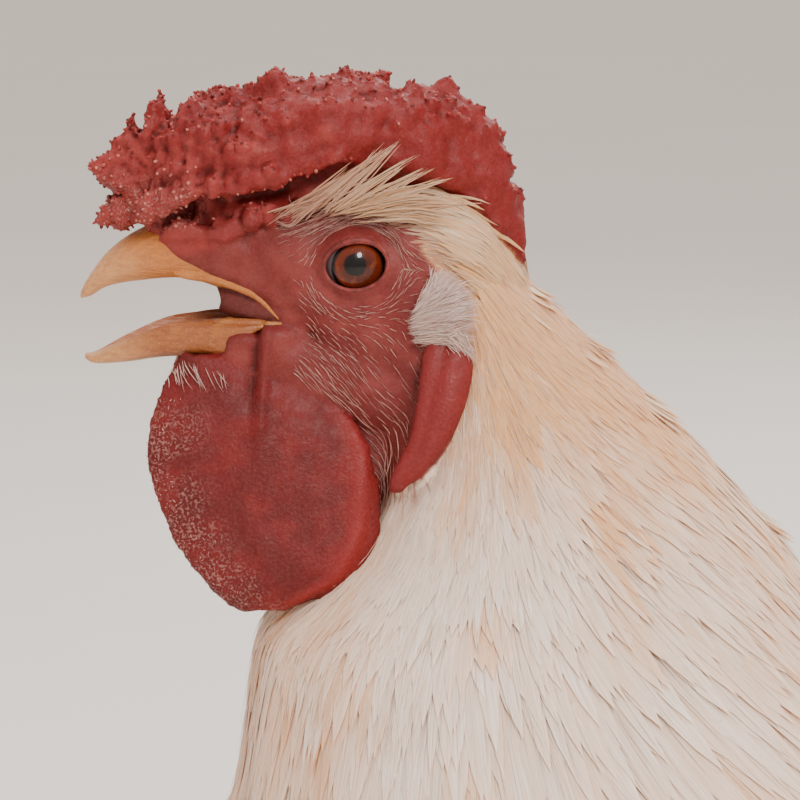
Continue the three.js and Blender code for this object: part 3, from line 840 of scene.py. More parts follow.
def cutMouthAndEyes(body):
    combined(body, objectFrom("mouthRoom", mouthRoom()), "DIFFERENCE")
    for side in sides.values():
        room = bmesh.new()
        addEyeRound(room, side, eyeRadius + 0.15 * mm)
        combined(body, objectFrom("eyeRoom", closedForm(room)), "DIFFERENCE")
        work = bmesh.new()
        window = bmesh.ops.create_cone(work, cap_ends=True, segments=56, radius1=1, radius2=1.06, depth=1)
        for vert in window["verts"]:
            x, z = tilted(vert.co.x * fissure["halfLength"], vert.co.y * fissure["halfHeight"])
            out = 15.5 + 10 * vert.co.z  # from inside the eye to well outside the skin
            vert.co = fromEye(fissure["middleX"] + x, side * out, fissure["middleZ"] + z)
        combined(body, objectFrom("lidOpening", closedForm(work)), "DIFFERENCE")
    return body


coat = {"faceRadius": 24, "rampTo": 85, "depth": 8.5, "least": 1.0, "voxel": 2.8 * mm, "skinVoxel": 3.4 * mm}
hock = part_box("shank_right")[1].z


# how far a place lies from the middle of the face
def fromHead(points):
    return np.linalg.norm((localOf(points) - (8, 0, -12)) * (1, 1.1, 0.9), axis=1)


def coatDepth(points):
    far = ease(fromHead(points), coat["faceRadius"], coat["rampTo"])
    depth = coat["least"] + (coat["depth"] - coat["least"]) * far
    leg = ease(points[:, 2], hock - 0.01, hock + 0.075)
    return depth * (0.3 + 0.7 * leg) * mm


feathered = ["neck", "trunk"] + bothSides("thigh", "wing_bow")


def coatGuide():
    work = nodeCopy(feathered, 0.6 * mm)
    for form in ("cranium", "jaw"):
        addForm(work, "x", head[form], square=squareness[form])
    return remeshed(objectFrom("coatGuide", work), coat["voxel"], 5)


def underSkin(guide):
    body = addObject("underSkin", guide.data.copy())
    points = pointsOf(body.data)
    depth = coatDepth(points) + 0.7 * mm
    setPoints(body.data, points - normalsOf(body.data) * depth[:, None])
    return remeshed(body, coat["skinVoxel"], 2)


def faceEdge(x):
    return np.interp(x, [-16, -5, 9, 16, 22, 30], [8.5, 11.4, 8.4, 1.0, -8, -30])


# the bare skin between the wattles and the earlobes
def bareThroat(points):
    x, _, z = localOf(points).T
    return (x < 14) & (z > np.interp(x, [-25, -4, 4, 9, 14], [-64, -60, -55, -47, -38]))


# how much each place lies inside the open mouth, between the edges of the beak
def mouthShare(points):
    x, y, z = localOf(points).T
    top = np.interp(x, [-32, -27.8, -23, -19.7, -16.6], [-3.4, -5.4, -7.4, -9.2, -12])
    inside = (x > -33) & (x < -16.4) & (z < top) & (z > -13.4) & (np.abs(y) < 12)
    return np.maximum(inside, distancesTo(treeOf(mouthRoom()), points) < 0.12 * mm).astype(float)


flesh = {
    "face": ("#6A2523", "#793431"), "comb": ("#701918", "#88322F"), "wattle": ("#571112", "#661616"),
    "ridge": "#7A2120", "lobe": "#732222", "lid": "#6C2B29", "mouth": ("#6A2E28", "#4A2222"),
}


# the skin's tones, where it is dry and how deep it is folded (read as painted shade); gives back how far it
# stands out
def paintSkin(body):
    mesh = body.data
    points = pointsOf(mesh)
    share = kindShares(mesh, points, 3)
    x, y, z = localOf(points).T
    patch = noiseOf(points, 7 * mm, 3, 2)
    tone = blend(*flesh["face"], ease(patch, -0.3, 0.5))
    # painted highlight: the comb is lighter where its lumps and flutes stand out; random patches also lighten
    # it, and it grows lighter towards the front and, in front, lower down
    toneAndHighlight = 0.7 * lumps(points) + 0.5 * flutes(points)
    toneAndHighlight += 0.5 * patch + 0.016 * (-x - 25) - 0.04 * (z - 22) * ease(-x, 5, 20)
    combTone = blend(*flesh["comb"], ease(toneAndHighlight, -0.35, 0.65))
    wattleTone = blend(*flesh["wattle"], ease(patch, -0.4, 0.5))
    # painted highlight: lighter along the wattle's raised rear ridge
    wattleTone = mixed(wattleTone, tint(flesh["ridge"]), bell(x, wattleRidge(z), 3.0))
    combFoot = ease(z - np.interp(x, [-43, -38, -33, -20, -10], [1, 0, 2, 6, 10]), -1, 1.5)
    tone = mixed(tone, combTone, combFoot * (1 - ease(x, -18, -10)) * share["face"])
    for name, other in (("comb", combTone), ("wattle", wattleTone), ("lobe", tint(flesh["lobe"]))):
        tone = mixed(tone, other, share[name])
    lid = bell(np.hypot((x + 0.1) / 1.15, z), 5.2, 1.6) * (np.abs(y) > 8) * share["face"]
    tone = mixed(tone, tint(flesh["lid"]), np.clip(lid * 0.75, 0, 1))
    tone = mixed(tone, blend(*flesh["mouth"], 0.5), spreadOut(mesh, mouthShare(points), 2))
    fleshy = np.maximum(np.maximum(share["comb"], share["wattle"]), share["lobe"])
    necked = distancesTo(neckTree, points) < distancesTo(headTree, points)
    coated = (((z > faceEdge(x)) & (x > -15)) | (x > 26) | (necked & (z < -14))) & ~bareThroat(points)
    coated &= fleshy < 0.5
    tone = mixed(tone, plumageTone(points), spreadOut(mesh, coated.astype(float), 3))
    # painted shade on the bare skin tucked under the comb's overhang, in front of the eye
    underCombShade = ease(z, 3, 6) * ease(-z, -13, -9) * ease(-x, 2, 10) * ease(x, -36, -31) * (1 - coated)
    tone = tone * (1 - 0.22 * underCombShade)[:, None]
    setColours(mesh, "tone", tone)
    patch = ease(noiseOf(points, 6 * mm, 2, 9), -0.7, 0.1)
    wide = 13 + 6 * ease(-z, 55, 70)
    onWattle = share["wattle"] * (1 - ease(x - wattleFront(z), 5, wide)) * ease(-z, 28, 36)
    onComb = share["comb"] * ease(-x, 29, 35) * (1 - ease(z, 13, 20)) * 0.8
    setNumbers(mesh, "dry", np.clip((onWattle + onComb) * patch, 0, 1))
    out = standingOut(mesh, 8)
    # hollow: how far the bare skin sinks below its surroundings, darkened by the material as painted shade
    setNumbers(mesh, "hollow", ease(-out, 0.02 * mm, 0.55 * mm) * (1 - coated))
    return out


neckTree = treeOf(nodeCopy(["neck"]))
headTree = treeOf(nodeCopy(["head"]))
guideBody = coatGuide()
skin = cutMouthAndEyes(headSkin())
combined(skin, underSkin(guideBody), "UNION")
standing = paintSkin(skin)
finishPiece(skin, skinLook, ["head", "comb"] + feathered + bothSides("wattle", "earlobe"))
print("skin made")

# eyes and lids

def addEye(side, way):
    work = bmesh.new()
    ball = bmesh.ops.create_uvsphere(work, u_segments=48, v_segments=32, radius=eyeRadius - 0.05 * mm)
    for vert in ball["verts"]:
        x, y, z = vert.co
        bulge = 1 + 0.035 * max(0, z / eyeRadius) ** 6  # the clear front stands a little proud
        vert.co = eyeMid + Vector((x, way * (eyeOut + z * bulge), y))
    finishPiece(objectFrom(f"eyeball_{side}", closedForm(work)), eyeLook, [f"eye_{side}"])


# a soft rim round the opening of the lids, laid on the skin
def addLidRims(tree, thick=0.5, sink=0.25, reel=5):
    work = bmesh.new()
    for way in sides.values():
        ring = bmesh.ops.create_circle(work, segments=10, radius=thick)["verts"]
        bmesh.ops.rotate(work, verts=ring, matrix=Matrix.Rotation(math.pi / 2, 3, "X"))
        bmesh.ops.translate(work, verts=ring, vec=(reel, 0, 0))
        edges = list({edge for vert in ring for edge in vert.link_edges})
        bmesh.ops.spin(work, geom=ring + edges, axis=(0, 0, 1), angle=2 * math.pi, steps=64, use_merge=True)
        for vert in [v for v in work.verts if v.co.length > 1]:  # those not yet laid on the head
            angle = math.atan2(vert.co.y, vert.co.x)
            off, out = math.hypot(vert.co.x, vert.co.y) - reel, vert.co.z
            x, z = tilted(fissure["halfLength"] * math.cos(angle), fissure["halfHeight"] * math.sin(angle))
            start = fromEye(fissure["middleX"] + x * 1.09, way * 60, fissure["middleZ"] + z * 1.09)
            hit = tree.ray_cast(start, Vector((0, -way, 0)))[0]
            heavy = 1 + 0.5 * max(0, math.sin(angle))  # the upper lid is the heavier one
            aim = Vector((x, 0, z)).normalized()
            place = fromEye(fissure["middleX"] + x, 0, fissure["middleZ"] + z)
            place += aim * (off * heavy + 0.15) * mm
            place.y = hit.y + way * (out * heavy - sink) * mm
            vert.co = place
    rims = objectFrom("lidRims", closedForm(work))
    points = pointsOf(rims.data)
    shade = blend("#5E2624", "#7E3632", ease(noiseOf(points, 2 * mm, 2), -0.3, 0.3))
    setColours(rims.data, "tone", shade)
    setNumbers(rims.data, "hollow", np.zeros(len(points)))
    finishPiece(rims, skinLook)


skinTree = meshTree(skin.data)
for side, way in sides.items():
    addEye(side, way)
addLidRims(skinTree)
print("eyes made")

# beak, tongue

upperBeak = {
    "rows": [  # x, low, high, half width
        [-59, -9.2, -8, 0.5], [-57, -8.8, -4.3, 2.3], [-52.5, -6.7, 1, 3.9], [-45, -5.7, 5.8, 5.9],
        [-37, -5.4, 7.8, 7.5], [-29, -7.1, 6, 9.3], [-24, -9, 0.4, 9.8], [-20.5, -10.4, -6, 9.4]],
    "edge": [  # x, low, high of the thin edge that runs back to the corner of the mouth
        [-38.5, -3.4, -2.6], [-36.8, -4.2, -1.4], [-33.6, -4.7, -1.4], [-30, -5.1, -2.1], [-27, -5.9, -3.3],
        [-23.6, -7.1, -4.6], [-21, -8.3, -6.2], [-18.6, -10.4, -8.9], [-16.2, -12.5, -11.9]],
    "keel": 0.5,
}
lowerBeak = {
    "rows": [
        [-58.2, -22.2, -21.2, 0.9], [-55.8, -23.1, -20.8, 3.5], [-49, -22.6, -17.2, 6.1],
        [-41, -21.4, -13.4, 7.8], [-33, -21, -12.2, 9.2], [-27.5, -20.9, -12.3, 10.5],
        [-23, -17, -12.7, 10.9], [-19.5, -14.6, -13, 10.4]],
    "edge": [
        [-30, -13.4, -12.8], [-27, -13.9, -12.4], [-23, -14.2, -12.3], [-19.5, -14, -12.5],
        [-15.6, -13.5, -12.8]],
}
tongueRows = [
    [-46, -18, -17.4, 0.8], [-41, -18, -16.4, 2.6], [-33, -16.6, -14.6, 4], [-26, -15.4, -13.4, 4.4],
    [-22, -15, -13.6, 3]]


def paintHorn(body, tip, base, root, length, inside):
    points = pointsOf(body.data)
    worn = ease(np.linalg.norm(points - np.array(tip), axis=1), 0, length)
    tone = blend("#C28B58", base, ease(worn, 0.0, 0.6))
    tone = mixed(tone, tint(root), ease(noiseOf(points, 5 * mm, 3), 0.05, 0.6) * 0.5 * worn)
    deep = spreadOut(body.data, (distancesTo(inside, points) < 0.1 * mm).astype(float), 1)
    lining = blend("#AC6A42", "#66362C", ease(localOf(points)[:, 0], -38, -25))
    tone = mixed(tone, lining, deep)
    setColours(body.data, "tone", tone)


# the edge lies on whatever is outermost there, skin or horn, and stands a little proud of it
def addEdge(body, rows, thick=0.75, proud=0.4):
    trees = [skinTree, meshTree(body.data)]
    for way in sides.values():
        full = []
        for x, low, high in rowsAt(rows, np.linspace(0, 1, 20)):
            start = fromEye(x, way * 40, (low + high) / 2)
            hits = [tree.ray_cast(start, Vector((0, -way, 0)))[0] for tree in trees]
            out = max(abs(localOf(np.array(hit))[1]) for hit in hits if hit)
            full.append([x, low, high, thick, out + proud - thick])
        work = bmesh.new()
        addForm(work, "x", full, rings=40, around=24, side=way)
        combined(body, objectFrom("edge", closedForm(work)), "UNION")


def addBeak(name, shape, hollow, square, tip, base, replaced):
    work = bmesh.new()
    verts = addForm(work, "x", shape["rows"], rings=72, around=72, square=square)
    keel = shape.get("keel", 0)
    for vert in verts:
        x, y, z = localOf(np.array(vert.co))
        ridge = math.exp(-(y / 1.6) ** 2) * keel * (1 if z > -4 else 0) * ease(-x, 58, 50)
        vert.co.z += float(ridge) * mm
    body = objectFrom(name, closedForm(work))
    room = bmesh.new()
    addForm(room, "x", hollow, rings=40, around=40)
    combined(body, objectFrom("room", closedForm(room)), "DIFFERENCE")
    addEdge(body, shape["edge"])
    paintHorn(body, fromEye(*tip), base, "#B97B3A", 0.034, treeOf(mouthRoom()))
    finishPiece(body, hornLook, replaced)


addBeak("upperBeak", upperBeak, palate, 2.0, (-58, 0, -6), "#B66E2E", ["beak_upper"])
addBeak("lowerBeak", lowerBeak, trough, 3.4, (-58, 0, -21), "#975629", ["beak_lower"])


def addTongue():
    work = bmesh.new()
    verts = addForm(work, "x", tongueRows, rings=48, around=32)
    for vert in verts:
        _, y, z = localOf(np.array(vert.co))
        vert.co.z -= math.exp(-(y / 0.7) ** 2) * 0.35 * mm * (1 if z > -15 else 0)
    tongue = objectFrom("tongueFlesh", closedForm(work))
    points = pointsOf(tongue.data)
    tone = blend("#8E4A40", "#6E342E", ease(noiseOf(points, 3 * mm), -0.3, 0.4))
    setColours(tongue.data, "tone", tone)
    setNumbers(tongue.data, "hollow", np.zeros(len(points)))
    finishPiece(tongue, skinLook, ["tongue"])


addTongue()
print("beak made")


# small pieces laid in great numbers: feathers, bristles, teeth of the comb

# a surface that feathers are laid on, with its own unwrap
def guideFrom(body):
    bpy.context.view_layer.objects.active = body
    body.select_set(True)
    bpy.ops.object.mode_set(mode="EDIT")
    bpy.ops.mesh.select_all(action="SELECT")
    bpy.ops.uv.smart_project(angle_limit=math.radians(66), island_margin=0.004)
    bpy.ops.object.mode_set(mode="OBJECT")
    body.select_set(False)
    mesh = body.data
    mesh.calc_loop_triangles()
    count = len(mesh.loop_triangles)
    corners, loops = np.empty(count * 3, np.int32), np.empty(count * 3, np.int32)
    mesh.loop_triangles.foreach_get("vertices", corners)
    mesh.loop_triangles.foreach_get("loops", loops)
    points = pointsOf(mesh)
    corners = corners.reshape(-1, 3)
    flat = np.empty(len(mesh.loops) * 2, np.float32)
    mesh.uv_layers.active.data.foreach_get("uv", flat)
    tree = BVHTree.FromPolygons(points.tolist(), corners.tolist())
    return {"tree": tree, "corners": corners, "points": points, "normals": normalsOf(mesh),
            "flat": flat.reshape(-1, 2)[loops.reshape(-1, 3)]}


# the nearest place on a guide to each point, with its smooth normal and its place on the unwrap
def laidOn(guide, points):
    found = [guide["tree"].find_nearest(p) for p in np.asarray(points).tolist()]
    place = np.array([hit[0] for hit in found])
    face = np.array([hit[2] for hit in found])
    a, b, c = guide["points"][guide["corners"][face]].transpose(1, 0, 2)
    ab, ac, ap = b - a, c - a, place - a
    d00, d01, d11 = (ab * ab).sum(1), (ab * ac).sum(1), (ac * ac).sum(1)
    d20, d21 = (ap * ab).sum(1), (ap * ac).sum(1)
    base = np.maximum(d00 * d11 - d01 * d01, 1e-30)
    v, w = (d11 * d20 - d01 * d21) / base, (d00 * d21 - d01 * d20) / base
    weights = np.clip(np.stack([1 - v - w, v, w], 1), 0, 1)[..., None]
    normal = unit((guide["normals"][guide["corners"][face]] * weights).sum(1))
    return place, normal, (guide["flat"][face] * weights).sum(1)


# points strewn over a guide, none nearer to the last than the spacing there
def strewn(guide, spacing, wanted, crowd=3.2):
    a, b, c = guide["points"][guide["corners"]].transpose(1, 0, 2)
    middle = (a + b + c) / 3
    inside = wanted(middle)
    area = np.linalg.norm(np.cross(b - a, c - a), axis=1) / 2 * inside
    gaps = spacing(middle)
    share = area / gaps ** 2
    total = int(share.sum() * crowd) + 1
    face = dice.choice(len(area), total, p=share / share.sum())
    u, v = dice.random(total), dice.random(total)
    flip = u + v > 1
    u, v = np.where(flip, 1 - u, u), np.where(flip, 1 - v, v)
    points = a[face] + (b - a)[face] * u[:, None] + (c - a)[face] * v[:, None]
    return points[thinned(points, spacing(points))]


def along(vectors, normals):
    return unit(vectors - normals * (vectors * normals).sum(-1, keepdims=True))


# lines that run over a guide from their roots, turning with the lie of the coat
def combedLines(guide, roots, lie, length, rows, sway=0.0, stiff=0.5):
    place, normal, patch = laidOn(guide, roots)
    ahead = along(lie(place), normal)
    swing = dice.normal(0, 1, len(roots))[:, None] * sway
    ahead = unit(ahead + np.cross(normal, ahead) * swing)
    lines, ups = [place], [normal]
    for _ in range(rows - 1):
        place, normal, _ = laidOn(guide, place + ahead * (length / (rows - 1))[:, None])
        ahead = along(unit(ahead) * stiff + along(lie(place), normal) * (1 - stiff), normal)
        lines.append(place)
        ups.append(normal)
    lines, ups = np.stack(lines, 1), np.stack(ups, 1)
    lines[:, 1:-1] = (lines[:, :-2] + 2 * lines[:, 1:-1] + lines[:, 2:]) / 4
    return lines, ups, patch


# templates have X across from -1 to 1, Y from root to tip and Z for thickness
def ribbonTemplate(rows, outline, around=3):
    work = bmesh.new()
    bmesh.ops.create_grid(work, x_segments=around, y_segments=rows, size=1)
    for vert in work.verts:
        angle = (vert.co.x + 1) * math.pi + math.pi / 2
        share = (vert.co.y + 1) / 2
        half = outline(share)
        vert.co = (math.cos(angle) * half, share, math.sin(angle) * (0.3 + 0.7 * half))
        if share in (0, 1):
            vert.co = (0, share, 0)
    return templateFrom(work)


def vaneTemplate(rows, columns, outline):
    work = bmesh.new()
    bmesh.ops.create_grid(work, x_segments=columns, y_segments=rows, size=1)
    for vert in work.verts:
        share = (vert.co.y + 1) / 2
        vert.co = (vert.co.x * outline(share), share, 0)
    bmesh.ops.solidify(work, geom=work.faces[:], thickness=1)
    middle = sum(vert.co.z for vert in work.verts) / len(work.verts)
    for vert in work.verts:
        vert.co.z -= middle
    return templateFrom(work)


def lanceOutline(share):
    return (0.35 + 0.65 * min(1, share / 0.35)) * (1 - share ** 3.2) ** 0.8


def roundOutline(share):
    toneAndHighlight = 0.3 + 0.7 * math.sin(min(1, share / 0.62) * math.pi / 2)
    return toneAndHighlight * math.sqrt(max(0.0, 1 - share ** 5)) + 0.03


def bladeOutline(share):
    return min(1, 0.35 + 3 * share) * math.sqrt(max(0.02, 1 - share ** 6))


lance = ribbonTemplate(7, lanceOutline)
plume = vaneTemplate(6, 2, lanceOutline)
filament = ribbonTemplate(4, lambda share: 1 - 0.75 * share)
tooth = ribbonTemplate(4, lambda share: math.sqrt(max(0, 1 - share ** 2.4)), 6)
vane = vaneTemplate(5, 4, roundOutline)


# the points of a template's copies, each bent along its own line
def bentCopies(template, lines, ups, half, thick, camber, ragged):
    count, rows = lines.shape[:2]
    across, share, high = template["points"].T
    place = share * (rows - 1)
    first = np.minimum(place.astype(int), rows - 2)
    part = (place - first)[None, :, None]

    def between(values):
        return values[:, first] * (1 - part) + values[:, first + 1] * part

    ahead = unit(np.gradient(lines, axis=1))
    beside = unit(np.cross(ahead, ups))
    top = np.cross(beside, ahead)
    wide = across[None, :] * half[:, None]
    if ragged:  # a wavy edge, split here and there
        seeds = dice.random(count)[:, None] * 40
        wave = np.sin(share * 23 + seeds) * np.sin(share * 57 + seeds * 2.3 + np.sign(across) * 2)
        wide = wide * (1 + ragged * wave)
        split = np.sin(share * 31 + seeds * 3) * np.sin(share * 83 + seeds + np.sign(across))
        split = np.maximum(0, split - 0.55)
        wide = wide * (1 - 6 * ragged * split * np.abs(across) ** 4 * (share > 0.15))
    lift = high[None, :] * thick[:, None] - camber * (across ** 2)[None, :] * half[:, None]
    return between(lines) + between(beside) * wide[..., None] + between(top) * lift[..., None]


def triangleMesh(name, points, corners):
    mesh = bpy.data.meshes.new(name)
    mesh.vertices.add(points.size // 3)
    mesh.vertices.foreach_set("co", points.astype(np.float32).ravel())
    mesh.loops.add(corners.size)
    mesh.loops.foreach_set("vertex_index", corners.astype(np.int32).ravel())
    mesh.polygons.add(corners.size // 3)
    mesh.polygons.foreach_set("loop_start", np.arange(0, corners.size, 3, dtype=np.int32))
    mesh.update(calc_edges=True)
    mesh.validate()
    return mesh


# one mesh of many copies of a template, each on its own line, with its tones and its two unwraps
def addLaid(name, look, template, lines, ups, half, thick, rootTone, tipTone, patch,
            camber=0.0, ragged=0.0, replaced=()):
    across, share, _ = template["points"].T
    count, size = len(lines), len(across)
    corners = template["corners"][None] + np.arange(count)[:, None, None] * size
    mesh = triangleMesh(name, bentCopies(template, lines, ups, half, thick, camber, ragged), corners)
    tone = rootTone[:, None] * (1 - share)[None, :, None] + tipTone[:, None] * share[None, :, None]
    setColours(mesh, "tone", tone.reshape(-1, 3))
    setNumbers(mesh, "hollow", np.zeros(count * size))
    own = np.stack([np.broadcast_to(across, (count, size)) + np.arange(count)[:, None] * 4 % 512,
                    np.broadcast_to(share, (count, size)) + (np.arange(count)[:, None] * 7 % 31)], -1)
    tuft = patch[:, None] + np.stack([across * 0.0015, (share - 0.5) * 0.003], 1)[None]
    for layerName, values in (("OFBake", tuft), ("vane", own)):
        layer = mesh.uv_layers.new(name=layerName)
        layer.data.foreach_set("uv", values.reshape(-1, 2)[corners.ravel()].astype(np.float32).ravel())
    mesh.uv_layers.active = mesh.uv_layers["OFBake"]
    laid = finishPiece(addObject(name, mesh), look, replaced)
    mesh.set_sharp_from_angle(angle=math.radians(65))  # keeps the two faces of a thin vane apart
    return laid


# raises lines off the guide: the root lies on the skin and the tip reaches the coat's outside
def raised(lines, ups, depth, lift, curve=1.0):
    share = np.linspace(0, 1, lines.shape[1])
    rise = (share ** curve - 1)[None] * depth[:, None] + lift[:, None] * (share ** 2)[None]
    return lines + ups * rise[..., None]


bodyGuide = guideFrom(guideBody)


# a tree of several solids, with the number of its solid for each face
def labelledTree(names):
    points, corners, labels = [], [], []
    for index, name in enumerate(names):
        work = nodeCopy([name])
        corners += [[len(points) + vert.index for vert in face.verts] for face in work.faces]
        labels += [index] * len(work.faces)
        points += [tuple(vert.co) for vert in work.verts]
        work.free()
    return BVHTree.FromPolygons(points, corners), np.array(labels)


labelNames = ["head"] + feathered
labelTree, labels = labelledTree(labelNames)


def solidNear(points, names):
    face = np.array([labelTree.find_nearest(p)[2] for p in points.tolist()])
    return np.isin(labels[face], [labelNames.index(name) for name in names])


# the lie of the neck's feathers: straight down in front, back along the nape behind
def neckLie(points):
    x, y, z = localOf(points).T
    back = ease((x - throatLine(z)) / (napeLine(z) - throatLine(z)), 0.05, 0.9)
    front = np.array([-0.1, 0, -1.0])
    nape = np.array([0.78, 0, -0.66])
    lie = mixed(front, nape, back)
    lie[:, 1] += np.sign(y) * 0.18
    return lie


hackle = {
    "under": {"least": 9, "longest": 48, "half": (1.4, 5.4), "gap": (1.6, 5.0), "depth": 0.95,
              "lift": (-0.1, 0.05)},
    "cape": {"least": 11, "longest": 66, "half": (0.9, 4.2), "gap": (1.2, 4.0), "depth": 1.0,
             "lift": (-0.1, 0.15)},
}


# how far a place is from the face, 0 to 1, which sets the size of its feathers
def neckSize(points):
    return ease(fromHead(points), 14, 140)


def onNeck(points):
    return solidNear(points, ["neck"]) & ~bareThroat(points)


def addHackle(name, least, longest, half, gap, depth, lift):
    roots = strewn(bodyGuide, lambda p: (gap[0] + (gap[1] - gap[0]) * neckSize(p)) * mm, onNeck)
    grown = neckSize(roots)
    length = (least + (longest - least) * grown) * mm * dice.uniform(0.8, 1.25, len(roots))
    lines, ups, patch = combedLines(bodyGuide, roots, neckLie, length, 7, sway=0.07)
    reach = dice.uniform(*lift, len(roots)) * mm * (0.4 + 0.6 * grown)
    lines = raised(lines, ups, coatDepth(roots) * 0.42, reach, 0.45)
    lines -= ups * (coatDepth(roots) * (1 - depth))[:, None, None]
    halves = (half[0] + (half[1] - half[0]) * grown) * mm * dice.uniform(0.7, 1.2, len(roots))
    tone = plumageTone(roots, dice.normal(0, 0.08, len(roots)))
    for side, way in sides.items():
        mine = roots[:, 1] * way >= 0
        count = int(mine.sum())
        # painted shade: each feather is a little darker at its root, which lies under the feathers over it,
        # than at its tip
        addLaid(f"{name}_{side}", hackleLook, plume, lines[mine], ups[mine], halves[mine],
                np.full(count, 0.08 * mm), tone[mine] * 0.99, np.minimum(tone[mine] * 1.03, 0.95),
                patch[mine], camber=0.06)


for name, settings in hackle.items():
    addHackle(f"{name}Hackle", **settings)


# a few loose feathers whose tips stand off the ridge of the nape, given by x, z and reach
looseNape = {"places": [(33, -8, 9), (45, -18, 11), (57, -28, 15), (84, -52, 15)], "count": 34,
             "lift": (0.3, 2.0)}


def addLooseNape():
    spots = np.repeat(np.array(looseNape["places"], float), looseNape["count"], axis=0)
    count = len(spots)
    roots = np.stack([spots[:, 0], dice.normal(0, 4.5, count), spots[:, 1]], 1)
    roots = laidOn(bodyGuide, worldOf(roots + dice.normal(0, 1.1, (count, 3)) * (1, 0, 1)))[0]
    length = spots[:, 2] * mm * dice.uniform(0.7, 1.1, count)
    lines, ups, patch = combedLines(bodyGuide, roots, neckLie, length, 7, sway=0.1)
    lines = raised(lines, ups, coatDepth(roots) * 0.4, dice.uniform(*looseNape["lift"], count) * mm, 0.5)
    half = dice.uniform(0.5, 1.3, count) * mm
    tone = blend("#E2A066", "#F6D8B4", dice.random(count))
    thick = np.full(count, 0.08 * mm)
    addLaid("looseNape", hackleLook, plume, lines, ups, half, thick, tone, tone, patch)


addLooseNape()
print("hackle made")


# crown, face and ears

strands = {"gap": 1.5, "moreGap": 2.6, "least": 8, "more": 34, "half": (0.12, 0.26), "lift": (0.1, 0.9)}


# fine strands over the neck's feathers
def addStrands():
    roots = strewn(bodyGuide, lambda p: (strands["gap"] + strands["moreGap"] * neckSize(p)) * mm, onNeck)
    grown = neckSize(roots)
    length = (strands["least"] + strands["more"] * grown) * mm * dice.uniform(0.7, 1.3, len(roots))
    lines, ups, patch = combedLines(bodyGuide, roots, neckLie, length, 6, sway=0.12)
    lines = raised(lines, ups, coatDepth(roots) * 0.25, dice.uniform(*strands["lift"], len(roots)) * mm, 0.6)
    half = dice.uniform(*strands["half"], len(roots)) * mm
    tone = mixed(plumageTone(roots), tint("#F8F0E8"), dice.uniform(0, 0.6, len(roots)))
    addLaid("neckStrands", hackleLook, filament, lines, ups, half, half * 0.5, tone, tone, patch)


crown = {"length": 10.5, "half": 0.5, "gap": 0.98}


# up and back over the brow, level over the crown, down along the nape
def crownLie(points):
    x, y, _ = localOf(points).T
    slope = np.radians(np.interp(x, [-16, -6, 4, 14, 24, 34], [38, 30, 12, -8, -32, -44]))
    return np.stack([np.cos(slope), np.sign(y) * 0.05, np.sin(slope)], 1)


def crownWanted(points):
    x, _, z = localOf(points).T
    sown = (z > faceEdge(x) - 0.8) & (x < 42) & (z > -16) & (dice.random(len(x)) < ease(x, -17, -7))
    sown = nearOnes(kinds["face"], points, sown, 1.5 * mm)
    return sown & ~nearOnes(kinds["comb"], points, sown, 0.9 * mm)


# two layers laid on the skin itself: short ones below, longer and looser ones above
def addCrown():
    for layer, (stretch, lift) in {"under": (0.8, 0.25), "over": (1.15, 0.8)}.items():
        roots = strewn(skinGuide, lambda p: np.full(len(p), crown["gap"] * mm), crownWanted)
        x, _, z = localOf(roots).T
        inner = ease(z - faceEdge(x), -0.5, 5)
        length = crown["length"] * mm * stretch * (0.5 + 0.6 * ease(x, -12, 22))
        length *= dice.uniform(0.7, 1.3, len(roots)) * (0.5 + 0.5 * inner)
        lines, ups, patch = combedLines(skinGuide, roots, crownLie, length, 6, sway=0.14)
        bow = dice.uniform(0.1, 0.5, len(roots)) * mm
        lines = raised(lines, ups, np.full(len(roots), 0.05 * mm), bow, 0.5)
        lines += ups * (lift * (0.2 + 0.8 * inner) * mm)[:, None, None]
        half = crown["half"] * mm * dice.uniform(0.6, 1.3, len(roots))
        half *= (0.3 + 0.7 * ease(x, -12, 8)) * (0.5 + 0.5 * inner)
        pinker = np.clip(ease(-x, -2, 14) * 0.6 + ease(faceEdge(x) - z, -4.5, 0) * 0.5, 0, 0.9)
        tone = mixed(blend("#F4BE8A", "#FDE6C8", dice.random(len(roots))), tint("#D8947E"), pinker)
        deep = blend("#DE9C5C", "#F4C48C", dice.random(len(roots)))
        tone = mixed(tone, deep, ease(x, 10, 26) * 0.8)
        # painted shade: each strand a little darker at its root, down in the coat
        addLaid(f"{layer}Crown", hackleLook, lance, lines, ups, half, half * 0.25,
                tone * 0.97, tone, patch)


# locks that splay up from the crown over the flank of the comb: root, tip, spread
crownLocks = [
    [(-9, 14.2, 11), (6, 19.5, 25.5), 1.1], [(-7, 14.6, 11.5), (9.2, 19.5, 26.2), 0.7],
    [(-4, 15.2, 11.5), (12, 19.5, 23), 1.3], [(-1, 15.4, 11.5), (16, 18.8, 21), 0.9],
    [(1, 15.6, 11.5), (19.5, 18.5, 18.6), 1.0], [(5, 15.8, 11), (26.5, 16.5, 13.2), 0.5],
    [(7, 15.6, 10.5), (20.5, 17, 10.6), 2.0], [(-13, 13.5, 10), (-1, 18, 20), 1.4],
    [(-1, 15.4, 11), (19, 17.4, 15), 1.8], [(4, 15.8, 10), (22, 16, 9), 2.2],
    [(-15, 13, 9), (-5, 17, 15), 1.4]]


